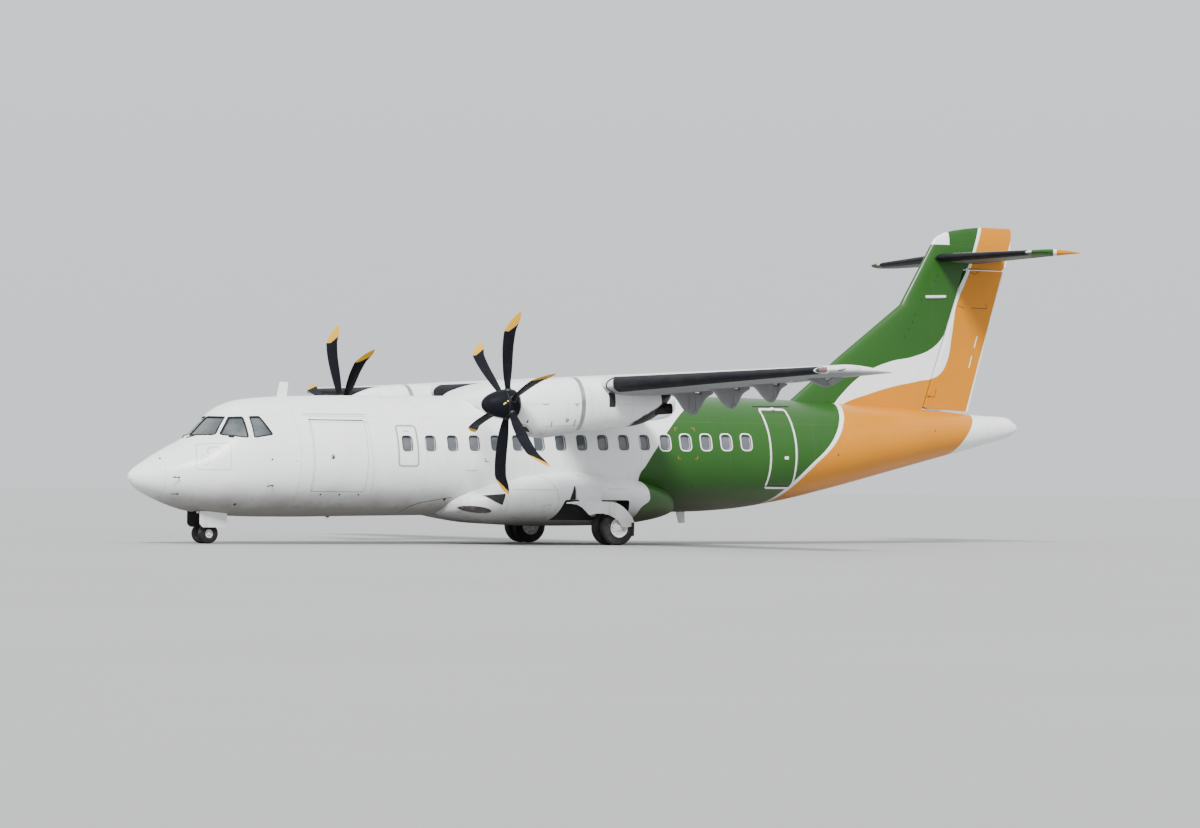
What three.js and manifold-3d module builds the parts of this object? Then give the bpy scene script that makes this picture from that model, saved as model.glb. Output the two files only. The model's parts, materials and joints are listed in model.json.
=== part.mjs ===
// A twin-turboprop regional airliner with a high wing and a T-tail, parked on its wheels.
//
// Lengths are in millimetres. Stations are measured aft of the nose tip (x), from the plane of
// symmetry to starboard (y) and up from the ground (z). The group at the end moves the origin to the
// ground under the middle of the aircraft's length, with +X aft, +Y starboard and +Z up.

import * as THREE from 'three';
import { mergeVertices } from 'three/addons/utils/BufferGeometryUtils.js';
import Module from 'manifold-3d';

const wasm = await Module();
wasm.setup();

// Driving dimensions
const LENGTH = 22670;
const HALF_SPAN = 12285;
const SKIN = 70; // fuselage wall with its frames
const SEAT = 0.3; // gap between two fixed pieces that touch
const RUN = 8; // gap around a door
const RING = 24; // points around a fuselage section
// Sides of the round pieces.
const ROUND = { bar: 10, wheel: 22, spinner: 16, blade: 6, nacelle: 16, fairing: 18 };

// Where the fuselage sections meet
const RADOME_END = 600;
const NOSE_END = 3350;
const FORWARD_END = 6300;
const CENTRE_END = 11600;
const AFT_END = 16200;
const CONE_JOINT = { top: 21270, slope: 0.7 }; // the tail cone's slanted joint, at z = 3040

// Fuselage sections: station, top, bottom, half width, height of the widest line
const FUSELAGE = [
  [30, 1500, 1320, 100, 1410],
  [100, 1570, 1220, 215, 1400],
  [250, 1670, 1110, 370, 1400],
  [550, 1860, 960, 590, 1420],
  [950, 2080, 800, 810, 1460],
  [1300, 2260, 700, 960, 1500],
  [1720, 2660, 635, 1110, 1560],
  [2050, 2920, 605, 1205, 1610],
  [2450, 3060, 585, 1295, 1660],
  [3000, 3130, 575, 1375, 1700],
  [3700, 3170, 575, 1425, 1735],
  [4400, 3195, 585, 1432, 1765],
  [7000, 3235, 625, 1432, 1805],
  [10500, 3290, 680, 1432, 1860],
  [13600, 3338, 728, 1432, 1908],
  [14600, 3345, 790, 1415, 1930],
  [15800, 3325, 960, 1350, 2000],
  [17200, 3275, 1255, 1190, 2160],
  [18800, 3210, 1640, 935, 2370],
  [20400, 3130, 2030, 635, 2580],
  [21600, 3040, 2312, 400, 2695],
  [22300, 3012, 2500, 262, 2755],
  [22500, 2958, 2560, 212, 2755],
  [22600, 2870, 2645, 130, 2752],
];
const STATIONS = [...FUSELAGE.map((row) => row[0]), RADOME_END, NOSE_END, FORWARD_END, CENTRE_END, AFT_END]
  .sort((a, b) => a - b);
const HOLLOW = { from: 1300, to: 22300 }; // the stations between which the fuselage is wide enough for a wall
const NOSE_TIP = [0, 0, 1420];
const TAIL_TIP = [LENGTH, 0, 2750];

// Wing: the centre section is straight, the outer panels taper
const WING = { break: 4750, lead: 8900, chord: 2570, level: 3420, ratio: 0.18 };
const WING_TIP = { lead: 9690, chord: 1410, level: 3600, ratio: 0.13 };
const WING_INCIDENCE = 0.026; // drop of the chord line per millimetre aft
const REAR_SPAR = 10745;
const FLAP_GAP = 20;
const FLAP_HINGE_X = 10620;
// The flaps' hinge height: level over the inner flaps, rising outboard over the outer ones
const FLAP_HINGE = { inner: 2870, atOuter: 2870, from: 5370, rise: 0.0671 };
const FLAP_SPANS = { inner: [1520, 3540], outer: [4765, 8620] };
const FLAP_TRACKS = { inner: [2500], outer: [5370, 6940, 8500] };
// A flap track's fairing: its width, and the moving arm's eye between the fixed nose's two cheeks
const TRACK = { width: 120, eye: 46, eyeWidth: 74, slot: 84, cheek: 50, pin: 14, gap: 7 };
const AILERON = { from: 8700, to: 12000, hinge: 10745, spar: 10640, heights: [3503, 3584], noses: [80, 50] };
const AILERON_TRACK = 10670;
const PIN = { radius: 16, end: 0.8, depth: 150 }; // hinge pins at the ends of a control surface

// Tail surfaces: position along the span, leading edge, hinge line, trailing edge, half thickness
const FIN = [
  [2950, 15880, 19959, 21230, 165],
  [3320, 16350, 20090, 21340, 165],
  [4380, 17700, 20468, 21655, 150],
  [5600, 19340, 20901, 22010, 135],
  [6400, 19823, 21186, 22291, 120],
  [7030, 20200, 21410, 22485, 108],
  [7190, 20300, 21467, 22500, 98],
  [7270, 20410, 21496, 22505, 88],
  [7350, 20600, 21525, 22508, 76],
  [7410, 20830, 21547, 22508, 62],
  [7465, 21180, 21567, 22500, 44],
  [7510, 21580, 21640, 22470, 20],
];
const TAILPLANE_LEVEL = 6740;
const TAILPLANE = [
  [0, 20240, 21550, 22250, 120],
  [3560, 20865, 21550, 21940, 62],
  [3655, 20960, 21550, 21900, 26],
];
const RUDDER = {
  low: [20030, 3150], high: [21215, 6480], // two points of the hinge line
  foot: 3190, footDrop: 0.05, head: 6480, capGap: 52,
  nose: { foot: 118, head: 88 }, // radii of the rounded front edge
};
const ELEVATOR = { hinge: 21550, spar: 21440, from: 280, to: 3420 };

// Engines and propellers
const ENGINE_Y = 4050;
const PROP = { x: 6853, z: 3000, tilt: 3, blades: 6, hub: 170, shaft: 110, spinner: 300 };
const BLADE_PHASES = { left: 12.6, right: -12.2 }; // lean of the top blade towards port, in degrees
// Propeller blade: radius, chord, thickness, sweep aft, twist in degrees
const BLADE = [
  [306, 118, 96, 0, 16],
  [460, 175, 62, -22, 13],
  [760, 240, 40, -45, 8],
  [1200, 266, 24, -66, 2],
  [1520, 272, 18, -48, -2],
  [1760, 216, 13, 57, -4],
  [1965, 65, 8, 175, -5],
];
// Nacelle sections: station, top, bottom, half width
const NACELLE = [
  [7035, 3270, 2705, 315],
  [7130, 3325, 2620, 352],
  [7250, 3380, 2460, 392],
  [7400, 3440, 2310, 432],
  [7620, 3505, 2290, 475],
  [8000, 3550, 2335, 510],
  [8400, 3585, 2400, 524],
  [9100, 3605, 2490, 525],
  [9560, 3540, 2530, 515],
  [9960, 3480, 2600, 470],
  [10400, 3420, 2780, 370],
  [10700, 3390, 3110, 220],
];
const NACELLE_WALL = 35;
const FIREWALL = 8850;
const ENGINE_BLOCK = { from: 7500, halfWidth: 265, low: 2700, high: 3270 };
const INTAKE = { to: 7600, halfWidth: 190, low: 2390, high: 2550 };
const EXHAUST = { radius: 115, wall: 12 };

// Fairings: station, top, bottom, half width
const GEAR_FAIRING = [
  [7020, 920, 660, 550],
  [7080, 970, 655, 1050],
  [7200, 1045, 635, 1360],
  [7460, 1177, 570, 1620],
  [7800, 1325, 510, 1780],
  [8250, 1445, 450, 1870],
  [8770, 1568, 425, 1920],
  [9380, 1662, 400, 1945],
  [9900, 1690, 400, 1950],
  [10500, 1620, 405, 1945],
  [11260, 1540, 425, 1915],
  [11700, 1460, 465, 1840],
  [12100, 1350, 530, 1690],
  [12450, 1180, 620, 1400],
  [12650, 900, 690, 1000],
];
const WING_FAIRING = [
  [7600, 3225, 3150, 500],
  [8000, 3430, 2700, 1215],
  [8500, 3560, 2590, 1290],
  [9100, 3600, 2580, 1310],
  [10900, 3600, 2590, 1315],
  [11700, 3590, 2620, 1310],
  [12300, 3480, 2720, 1250],
  [12700, 3370, 2950, 1000],
  [12900, 3345, 3200, 600],
];

// Wheels
const MAIN = { x: 10530, y: 2050, spacing: 410, radius: 388, width: 225, rim: 220 };
const NOSE_WHEEL = { x: 1753, spacing: 340, radius: 215, width: 180, rim: 115 };
const STEERING_X = 1715;
// A wheel well: its front edge leans, from the ground's level up to the roof.
const WELL = { from: 8930, fromAtRoof: 9410, to: 11020, wall: 1560, roof: 985 };
// Flat pads under which jacks stand.
const JACK = { radius: 60, nose: [2750, 0, 560], main: [9000, 1200, 380] };
const NOSE_BAY = { from: 1440, to: 2160, half: 300, roof: 1150 };

// Rooms and doors
const FLIGHT_DECK = { from: 1450, to: NOSE_END + 10, floor: 1350 };
const CARGO_ROOM = { from: 3500, to: 5300, floor: 1050 };
const VESTIBULE = { from: 14250, to: 16050, floor: 1310 };
const CARGO_DOOR = { from: 3640, to: 4915, sill: 1120, hinge: 2660 };
const PASSENGER_DOOR = { from: 14940, to: 15690, hinge: 1310, height: 1750, steps: 5 };
const SERVICE_DOOR = { from: 14980, to: 15590, sill: 1375, height: 1220 };
const HINGE_RADIUS = 14;
const GLASS = { depth: 25, thickness: 20, low: 2200, high: 2780, from: 1200, to: 2900 };
// Flight-deck windows: the front panes seen from ahead (y, z), the side ones from the side (x, z)
const FRONT_PANE = [[40, 2310], [40, 2700], [570, 2680], [720, 2310]];
const SIDE_PANES = [
  [[1770, 2305], [2010, 2675], [2270, 2675], [2245, 2270]],
  [[2385, 2260], [2385, 2690], [2600, 2690], [2755, 2325]],
];

// Geometry helpers

function toSolid(geometry) {
  const bare = new THREE.BufferGeometry();
  bare.setAttribute('position', geometry.getAttribute('position').clone());
  if (geometry.index) bare.setIndex(geometry.index.clone());
  const merged = mergeVertices(bare, 1e-3);
  const vertProperties = Float32Array.from(merged.getAttribute('position').array);
  const triVerts = Uint32Array.from(merged.index.array);
  return new wasm.Manifold(new wasm.Mesh({ numProp: 3, vertProperties, triVerts }));
}

function toGeometry(solid) {
  const mesh = solid.getMesh();
  const geometry = new THREE.BufferGeometry();
  geometry.setAttribute('position', new THREE.BufferAttribute(Float32Array.from(mesh.vertProperties), 3));
  geometry.setIndex(new THREE.BufferAttribute(Uint32Array.from(mesh.triVerts), 1));
  return geometry;
}

function unite(...solids) {
  return solids.reduce((sum, solid) => sum.add(solid));
}

function cut(solid, ...tools) {
  return tools.reduce((rest, tool) => rest.subtract(tool), solid);
}

// Turns a geometry's faces over, so that its volume is positive.
function facingOut(geometry) {
  const p = geometry.getAttribute('position');
  const index = geometry.index.array;
  const [a, b, c] = [new THREE.Vector3(), new THREE.Vector3(), new THREE.Vector3()];
  let volume = 0;
  for (let i = 0; i < index.length; i += 3) {
    a.fromBufferAttribute(p, index[i]);
    b.fromBufferAttribute(p, index[i + 1]);
    c.fromBufferAttribute(p, index[i + 2]);
    volume += a.dot(b.cross(c));
  }
  if (volume < 0) {
    for (let i = 0; i < index.length; i += 3) {
      [index[i + 1], index[i + 2]] = [index[i + 2], index[i + 1]];
    }
  }
  return geometry;
}

// A closed skin over rings of equally many points; each end is a fan around its tip.
function loft(rings, startTip, endTip) {
  const count = rings[0].length;
  const middle = (ring) => [0, 1, 2].map((k) => ring.reduce((sum, p) => sum + p[k], 0) / count);
  const points = rings.flat();
  points.push(startTip ?? middle(rings[0]), endTip ?? middle(rings.at(-1)));
  const first = points.length - 2;
  const last = points.length - 1;
  const lastRing = (rings.length - 1) * count;
  const index = [];
  for (let i = 0; i < count; i += 1) {
    const j = (i + 1) % count;
    index.push(first, j, i, last, lastRing + i, lastRing + j);
    for (let r = 0; r < rings.length - 1; r += 1) {
      const here = r * count;
      const next = here + count;
      index.push(here + i, here + j, next + j, here + i, next + j, next + i);
    }
  }
  const geometry = new THREE.BufferGeometry();
  geometry.setAttribute('position', new THREE.Float32BufferAttribute(points.flat(), 3));
  geometry.setIndex(index);
  return toSolid(facingOut(geometry));
}

function box(x0, x1, y0, y1, z0, z1) {
  const geometry = new THREE.BoxGeometry(x1 - x0, y1 - y0, z1 - z0);
  geometry.translate((x0 + x1) / 2, (y0 + y1) / 2, (z0 + z1) / 2);
  return toSolid(geometry);
}

// An outline in (x, z) pushed along y from one value to another.
function slabAcross(outline, y0, y1) {
  const shape = new THREE.Shape(outline.map(([x, z]) => new THREE.Vector2(x, z)));
  const settings = { depth: y1 - y0, bevelEnabled: false, curveSegments: 6 };
  const geometry = new THREE.ExtrudeGeometry(shape, settings);
  geometry.rotateX(Math.PI / 2);
  geometry.translate(0, y1, 0);
  return toSolid(geometry);
}

// An outline in (y, z) pushed along x.
function slabAlong(outline, x0, x1) {
  const shape = new THREE.Shape(outline.map(([y, z]) => new THREE.Vector2(y, z)));
  const geometry = new THREE.ExtrudeGeometry(shape, { depth: x1 - x0, bevelEnabled: false });
  const turn = new THREE.Matrix4().makeBasis(
    new THREE.Vector3(0, 1, 0), new THREE.Vector3(0, 0, 1), new THREE.Vector3(1, 0, 0));
  geometry.applyMatrix4(turn);
  geometry.translate(x0, 0, 0);
  return toSolid(geometry);
}

// A round bar between two points; the second radius is given where it tapers.
function bar(a, b, radius, endRadius = radius, segments = ROUND.bar) {
  const from = new THREE.Vector3(...a);
  const to = new THREE.Vector3(...b);
  const geometry = new THREE.CylinderGeometry(endRadius, radius, from.distanceTo(to), segments);
  const up = new THREE.Vector3(0, 1, 0);
  const direction = to.clone().sub(from).normalize();
  geometry.applyQuaternion(new THREE.Quaternion().setFromUnitVectors(up, direction));
  geometry.translate(...from.add(to).multiplyScalar(0.5));
  return toSolid(geometry);
}

// A hole in which a round bar of that radius turns, clear of the facets by the given gap.
function boreRadius(radius, gap, segments) {
  return (radius + gap) / Math.cos(Math.PI / segments);
}

// A profile of (radius, distance along y) turned about the y axis.
function turned(profile, segments) {
  const geometry = new THREE.LatheGeometry(profile.map(([r, d]) => new THREE.Vector2(r, d)), segments);
  return toSolid(facingOut(mergedByPosition(geometry)));
}

function mergedByPosition(geometry) {
  const bare = new THREE.BufferGeometry();
  bare.setAttribute('position', geometry.getAttribute('position').clone());
  bare.setIndex(geometry.index.clone());
  return mergeVertices(bare, 1e-3);
}

function placed(solid, matrix) {
  const geometry = toGeometry(solid);
  geometry.applyMatrix4(matrix);
  return toSolid(geometry);
}

function mirrored(solid) {
  const geometry = toGeometry(solid);
  geometry.applyMatrix4(new THREE.Matrix4().makeScale(1, -1, 1));
  return toSolid(facingOut(geometry));
}

// A smooth curve through a table's column that never overshoots its points.
function curveThrough(rows, column) {
  const x = rows.map((row) => row[0]);
  const v = rows.map((row) => row[column]);
  const step = x.slice(1).map((value, i) => value - x[i]);
  const rise = step.map((h, i) => (v[i + 1] - v[i]) / h);
  const slope = v.map((_, i) => {
    if (i === 0 || i === v.length - 1) return i === 0 ? rise[0] : rise.at(-1);
    if (rise[i - 1] * rise[i] <= 0) return 0;
    const w1 = 2 * step[i] + step[i - 1];
    const w2 = step[i] + 2 * step[i - 1];
    return (w1 + w2) / (w1 / rise[i - 1] + w2 / rise[i]);
  });
  return (at) => {
    let i = 0;
    while (i < step.length - 1 && at > x[i + 1]) i += 1;
    const t = (at - x[i]) / step[i];
    const s = 1 - t;
    const ends = v[i] * (1 + 2 * t) * s * s + v[i + 1] * (3 - 2 * t) * t * t;
    return ends + step[i] * s * t * (slope[i] * s - slope[i + 1] * t);
  };
}

// Fuselage

const fuselageTop = curveThrough(FUSELAGE, 1);
const fuselageBottom = curveThrough(FUSELAGE, 2);
const fuselageHalf = curveThrough(FUSELAGE, 3);
const fuselageLevel = curveThrough(FUSELAGE, 4);

function fuselageRing(x, inset) {
  const level = fuselageLevel(x);
  const half = fuselageHalf(x) - inset;
  const above = fuselageTop(x) - inset - level;
  const below = level - fuselageBottom(x) - inset;
  return Array.from({ length: RING }, (_, i) => {
    const angle = (2 * Math.PI * i) / RING;
    const side = Math.sin(angle);
    return [x, half * Math.cos(angle), level + (side > 0 ? above : below) * side];
  });
}

// The fuselage between two of its stations, shrunk by an inset or grown by a negative one.
function fuselage(from, to, inset = 0) {
  const rings = STATIONS.filter((x) => x >= from && x <= to).map((x) => fuselageRing(x, inset));
  return loft(rings, from === 0 ? NOSE_TIP : undefined, to === LENGTH ? TAIL_TIP : undefined);
}

const wholeBody = fuselage(0, LENGTH);
const wholeBodyGrown = fuselage(0, LENGTH, -SEAT);
const wholeInside = fuselage(HOLLOW.from, HOLLOW.to, SKIN);

// The port skin's y at a height, on one ring and at any station.
function portSideOf(ring, z) {
  const port = ring.filter(([, y]) => y < 0).sort((p, q) => p[2] - q[2]);
  const i = port.findIndex((p) => p[2] > z);
  const [low, high] = [port[i - 1], port[i]];
  return low[1] + ((z - low[2]) / (high[2] - low[2])) * (high[1] - low[1]);
}

function portSkin(x, z) {
  const i = STATIONS.findIndex((station) => station > x);
  const [before, after] = [STATIONS[i - 1], STATIONS[i]];
  const [a, b] = [before, after].map((station) => portSideOf(fuselageRing(station, 0), z));
  return a + ((x - before) / (after - before)) * (b - a);
}

// A frame at a door's hinge line: x runs aft along the hinge, y to starboard, z up from it.
function hingeFrame(from, to, z) {
  const a = new THREE.Vector3(from, portSkin(from, z), z);
  const b = new THREE.Vector3(to, portSkin(to, z), z);
  const angle = Math.atan2(b.y - a.y, b.x - a.x);
  const matrix = new THREE.Matrix4().makeRotationZ(angle).setPosition(a);
  return { matrix, width: a.distanceTo(b) };
}

const DOOR_REACH = 520; // how far the doors' cutters reach to either side of the hinge

function cargoDoorway(gap, hingeRadius) {
  const { matrix, width } = hingeFrame(CARGO_DOOR.from, CARGO_DOOR.to, CARGO_DOOR.hinge);
  const drop = CARGO_DOOR.sill - CARGO_DOOR.hinge;
  const panel = box(gap, width - gap, -DOOR_REACH, 200, drop + gap, -gap);
  const hinge = bar([gap, 0, 0], [width - gap, 0, 0], hingeRadius);
  return { panel: placed(panel, matrix), hinge: placed(hinge, matrix) };
}

// The airstair's doorway: its head leans so that the swinging edge clears it.
function passengerDoorway(gap, hingeRadius) {
  const { matrix, width } = hingeFrame(PASSENGER_DOOR.from, PASSENGER_DOOR.to, PASSENGER_DOOR.hinge);
  const { height } = PASSENGER_DOOR;
  const lean = 0.17;
  const outline = [
    [-DOOR_REACH, gap],
    [DOOR_REACH, gap],
    [DOOR_REACH, height - gap - lean * (DOOR_REACH - 250)],
    [-DOOR_REACH, height - gap + lean * (DOOR_REACH + 250)],
  ];
  const panel = slabAlong(outline, gap, width - gap);
  const hinge = bar([gap, 0, 0], [width - gap, 0, 0], hingeRadius);
  return { panel: placed(panel, matrix), hinge: placed(hinge, matrix), matrix, width };
}

function serviceDoorway(gap) {
  const { from, to, sill, height } = SERVICE_DOOR;
  return box(from + gap, to - gap, 700, 1700, sill + gap, sill + height - gap);
}

const wall = wholeBody.subtract(wholeInside);

function room({ from, to, floor }) {
  return wholeInside.intersect(box(from, to, -2000, 2000, floor, 4000));
}

function windowBand(gap) {
  return box(GLASS.from, GLASS.to - gap, -1500, 1500, GLASS.low + gap, GLASS.high - gap);
}

function noseSection() {
  const behindGlass = fuselage(950, FORWARD_END, GLASS.depth).intersect(windowBand(0));
  const bay = box(NOSE_BAY.from, NOSE_BAY.to, -NOSE_BAY.half, NOSE_BAY.half, 0, NOSE_BAY.roof);
  const front = slabAlong(FRONT_PANE, 1150, 2150);
  const sides = SIDE_PANES.map((pane) => slabAcross(pane, -1600, 1600));
  const barrel = fuselage(RADOME_END, NOSE_END);
  const shell = cut(barrel, room(FLIGHT_DECK), behindGlass, bay, front, mirrored(front), ...sides);
  return shell.add(jackPad(JACK.nose));
}

function jackPad([x, y, z]) {
  return bar([x, y, z], [x, y, z + 120], JACK.radius);
}

function glazing() {
  const outside = fuselage(950, FORWARD_END, GLASS.depth + SEAT);
  const inside = fuselage(950, FORWARD_END, GLASS.depth + GLASS.thickness);
  return outside.subtract(inside).intersect(windowBand(SEAT));
}

function flightDeckInterior() {
  const floor = FLIGHT_DECK.floor + SEAT;
  const parts = [
    box(1500, 2950, -480, 480, floor, floor + 30),
    box(1500, 1760, -480, 480, floor, 2170),
    box(1760, 2500, -110, 110, floor, 1860),
  ];
  for (const y of [-440, 440]) {
    parts.push(box(2330, 2800, y - 225, y + 225, floor, 1770));
    parts.push(box(2680, 2800, y - 225, y + 225, 1700, 2330));
    parts.push(box(2690, 2780, y - 120, y + 120, 2300, 2480));
  }
  return unite(...parts).intersect(fuselage(HOLLOW.from, NOSE_END, SKIN + 8));
}

function forwardFuselage() {
  const doorway = cargoDoorway(0, boreRadius(HINGE_RADIUS, 0.3, ROUND.bar));
  return cut(fuselage(NOSE_END, FORWARD_END), room(CARGO_ROOM), doorway.panel, doorway.hinge);
}

function cargoDoor() {
  const doorway = cargoDoorway(RUN, HINGE_RADIUS);
  return wall.intersect(doorway.panel).add(doorway.hinge);
}

function aftFuselage() {
  const doorway = passengerDoorway(0, boreRadius(HINGE_RADIUS, 0.3, ROUND.bar));
  const barrel = fuselage(CENTRE_END, AFT_END);
  return cut(barrel, room(VESTIBULE), doorway.panel, doorway.hinge, serviceDoorway(0));
}

// The airstair, with its treads on the inner side.
function passengerDoor() {
  const doorway = passengerDoorway(RUN, HINGE_RADIUS);
  const { steps, height } = PASSENGER_DOOR;
  const panel = wall.intersect(doorway.panel);
  const treads = [];
  for (let i = 0; i < steps; i += 1) {
    const z = 130 + (i * (height - 330)) / (steps - 1);
    const tread = box(90, doorway.width - 90, -400, 300 + 40 * (i / steps), z, z + 30);
    treads.push(placed(tread, doorway.matrix));
  }
  const inner = fuselage(CENTRE_END, AFT_END, SKIN - 5);
  return unite(panel, doorway.hinge, ...treads.map((tread) => tread.intersect(inner)));
}

function serviceDoor() {
  return wall.intersect(serviceDoorway(SEAT));
}

// The tail: the rear barrel ends at a slanted joint, behind which the cone carries on.
function aheadOfJoint(gap) {
  const { top, slope } = CONE_JOINT;
  const outline = [[AFT_END - 10, 500], [top - slope * 2540 - gap, 500], [top + slope * 1960 - gap, 5000],
    [AFT_END - 10, 5000]];
  return slabAcross(outline, -2000, 2000);
}

function tailFuselage() {
  const inside = wholeInside.subtract(box(0, AFT_END + 200, -2000, 2000, 0, 4000));
  return fuselage(AFT_END, LENGTH).subtract(inside).intersect(aheadOfJoint(SEAT));
}

function tailCone() {
  return cut(fuselage(AFT_END, LENGTH), wholeInside, aheadOfJoint(0));
}

// A fairing's rounded-box section.
function fairing(rows, grow = 0) {
  const power = 2 / 3;
  const rings = rows.map(([x, top, bottom, half]) => Array.from({ length: ROUND.fairing }, (_, i) => {
    const angle = (2 * Math.PI * (i + 0.5)) / ROUND.fairing;
    const [c, s] = [Math.cos(angle), Math.sin(angle)];
    const y = (half + grow) * Math.sign(c) * Math.abs(c) ** power;
    const z = (top + bottom) / 2 + ((top - bottom) / 2 + grow) * Math.sign(s) * Math.abs(s) ** power;
    return [x, y, z];
  }));
  return loft(rings);
}

function gearFairing() {
  const outline = [[WELL.from, 0], [WELL.to, 0], [WELL.to, WELL.roof], [WELL.fromAtRoof, WELL.roof]];
  const well = slabAcross(outline, WELL.wall, 2600);
  const pad = jackPad(JACK.main);
  return unite(cut(fairing(GEAR_FAIRING), wholeBodyGrown, well, mirrored(well)), pad, mirrored(pad));
}

function wingFairing() {
  return cut(fairing(WING_FAIRING), wholeBodyGrown, centreWing(SEAT));
}

// Wing

const CHORD_STEPS = [1, 0.9, 0.78, 0.64, 0.48, 0.33, 0.2, 0.1, 0.04, 0.01];

function aerofoil({ lead, chord, level, ratio }, y, grow = 0) {
  const half = (u) => 5 * ratio * (0.2969 * Math.sqrt(u) - 0.126 * u - 0.3516 * u ** 2
    + 0.2843 * u ** 3 - 0.1015 * u ** 4);
  const camber = (u) => 0.08 * u * (1 - u);
  const point = (u, side) => [
    lead + u * chord + (u === 0 ? -grow : u === 1 ? grow : 0),
    y,
    level + chord * (camber(u) + side * half(u)) - WING_INCIDENCE * u * chord + side * grow,
  ];
  const upper = CHORD_STEPS.map((u) => point(u, 1));
  const lower = [...CHORD_STEPS].reverse().map((u) => point(u, -1));
  return [...upper, point(0, 0), ...lower];
}

function wingSection(y) {
  const t = (y - WING.break) / (HALF_SPAN - WING.break);
  const mix = (key) => WING[key] + t * (WING_TIP[key] - WING[key]);
  return { lead: mix('lead'), chord: mix('chord'), level: mix('level'), ratio: mix('ratio') };
}

function centreWing(grow = 0) {
  return loft([-WING.break, WING.break].map((y) => aerofoil(WING, y, grow)));
}

function outerPanel() {
  const rounded = wingSection(HALF_SPAN);
  const { lead, chord, ratio } = rounded;
  const tip = { ...rounded, lead: lead + 130, chord: chord - 170, ratio: ratio * 0.45 };
  return loft([
    aerofoil(WING, WING.break),
    aerofoil(wingSection(HALF_SPAN - 150), HALF_SPAN - 150),
    aerofoil(tip, HALF_SPAN),
  ]);
}

function outerHingeHeight(y) {
  return FLAP_HINGE.atOuter + FLAP_HINGE.rise * (y - FLAP_HINGE.from);
}

// The block that a flap fills, its ends square to the hinge line. The gap shrinks it.
function flapBlock(span, rise, gap) {
  const [inner, outer] = [span[0] + gap, span[1] - gap];
  const lean = (z) => -rise * (z - 3300);
  const outline = [[inner + lean(2000), 2000], [outer + lean(2000), 2000], [outer + lean(4500), 4500],
    [inner + lean(4500), 4500]];
  return slabAlong(outline, REAR_SPAR + (gap > 0 ? FLAP_GAP : 0), 12000);
}

// A flap track's fairing seen from the side, split at the hinge: its fixed nose and its moving tail.
function trackOutline(hinge, under, scale) {
  const foot = hinge - 58;
  return {
    nose: [[FLAP_HINGE_X - 760 * scale, under + 90], [FLAP_HINGE_X - 500 * scale, under - 95],
      [FLAP_HINGE_X - 210 * scale, foot + 75], [FLAP_HINGE_X - 30, foot], [FLAP_HINGE_X, foot],
      [FLAP_HINGE_X, under + 90]],
    tail: [[FLAP_HINGE_X, foot + 6], [FLAP_HINGE_X + 60, foot + 30],
      [FLAP_HINGE_X + 470 * scale, under - 30 * scale], [FLAP_HINGE_X + 470 * scale, under + 60],
      [REAR_SPAR + FLAP_GAP + 15, under + 60], [REAR_SPAR + FLAP_GAP + 15, under - 20], [FLAP_HINGE_X, under - 60]],
  };
}

function wingUnderside(y) {
  const section = y < WING.break ? WING : wingSection(y);
  const ring = aerofoil(section, y).slice(CHORD_STEPS.length);
  const at = REAR_SPAR - 60;
  const j = ring.findIndex((p) => p[0] > at);
  const t = (at - ring[j - 1][0]) / (ring[j][0] - ring[j - 1][0]);
  return ring[j - 1][2] + t * (ring[j][2] - ring[j - 1][2]);
}

// A round bar on a flap's hinge line, as wide as given; the line rises outboard.
function hingeBar({ y, z, rise }, width, radius) {
  const [half, lift] = [width / 2, (rise * width) / 2];
  return bar([FLAP_HINGE_X, y - half, z - lift], [FLAP_HINGE_X, y + half, z + lift], radius);
}

function trackNose(hinge, scale = 1) {
  const { width, slot, eye, cheek, gap } = TRACK;
  const { nose } = trackOutline(hinge.z, wingUnderside(hinge.y), scale);
  const body = slabAcross(nose, hinge.y - width / 2, hinge.y + width / 2);
  const cheeks = hingeBar(hinge, width, cheek);
  return body.add(cheeks).subtract(hingeBar(hinge, slot, boreRadius(eye, gap, ROUND.bar)));
}

function trackTail(hinge, scale = 1) {
  const { width, slot, eye, eyeWidth, cheek, pin, gap } = TRACK;
  const { y } = hinge;
  const { tail } = trackOutline(hinge.z, wingUnderside(y), scale);
  const ahead = box(FLAP_HINGE_X - 400, FLAP_HINGE_X + gap, y - width, y + width, 2000, 4000);
  const roundCheeks = hingeBar(hinge, width + 10, boreRadius(cheek, gap, ROUND.bar));
  const wide = slabAcross(tail, y - width / 2, y + width / 2).subtract(roundCheeks);
  const neck = slabAcross(tail, y - eyeWidth / 2, y + eyeWidth / 2);
  const arm = wide.add(neck).subtract(ahead);
  return unite(arm, hingeBar(hinge, eyeWidth, eye), hingeBar(hinge, slot - 2 * PIN.end, pin));
}

// The tracks along one flap, smaller outboard.
function tracksOf(kind, make) {
  return FLAP_TRACKS[kind].map((y, i) => {
    const outer = kind === 'outer';
    const z = outer ? outerHingeHeight(y) : FLAP_HINGE.inner;
    return make({ y, z, rise: outer ? FLAP_HINGE.rise : 0 }, 1 - 0.1 * i);
  });
}

function flap(kind) {
  const outer = kind === 'outer';
  const skin = outer ? outerPanel() : centreWing();
  const rise = outer ? FLAP_HINGE.rise : 0;
  const panel = skin.intersect(flapBlock(FLAP_SPANS[kind], rise, RUN));
  return unite(panel, ...tracksOf(kind, trackTail));
}

function aileronBlock(gap) {
  const { from, to, hinge, spar } = AILERON;
  return box(gap > 0 ? hinge : spar, 12000, from + gap, to - gap, 3000, 4200);
}

function aileronNose() {
  const { from, to, hinge, heights, noses } = AILERON;
  const nose = bar([hinge, from + RUN, heights[0]], [hinge, to - RUN, heights[1]], noses[0], noses[1]);
  const pins = bar([hinge, from + PIN.end, heights[0]], [hinge, to - PIN.end, heights[1]], PIN.radius);
  return nose.add(pins);
}

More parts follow.
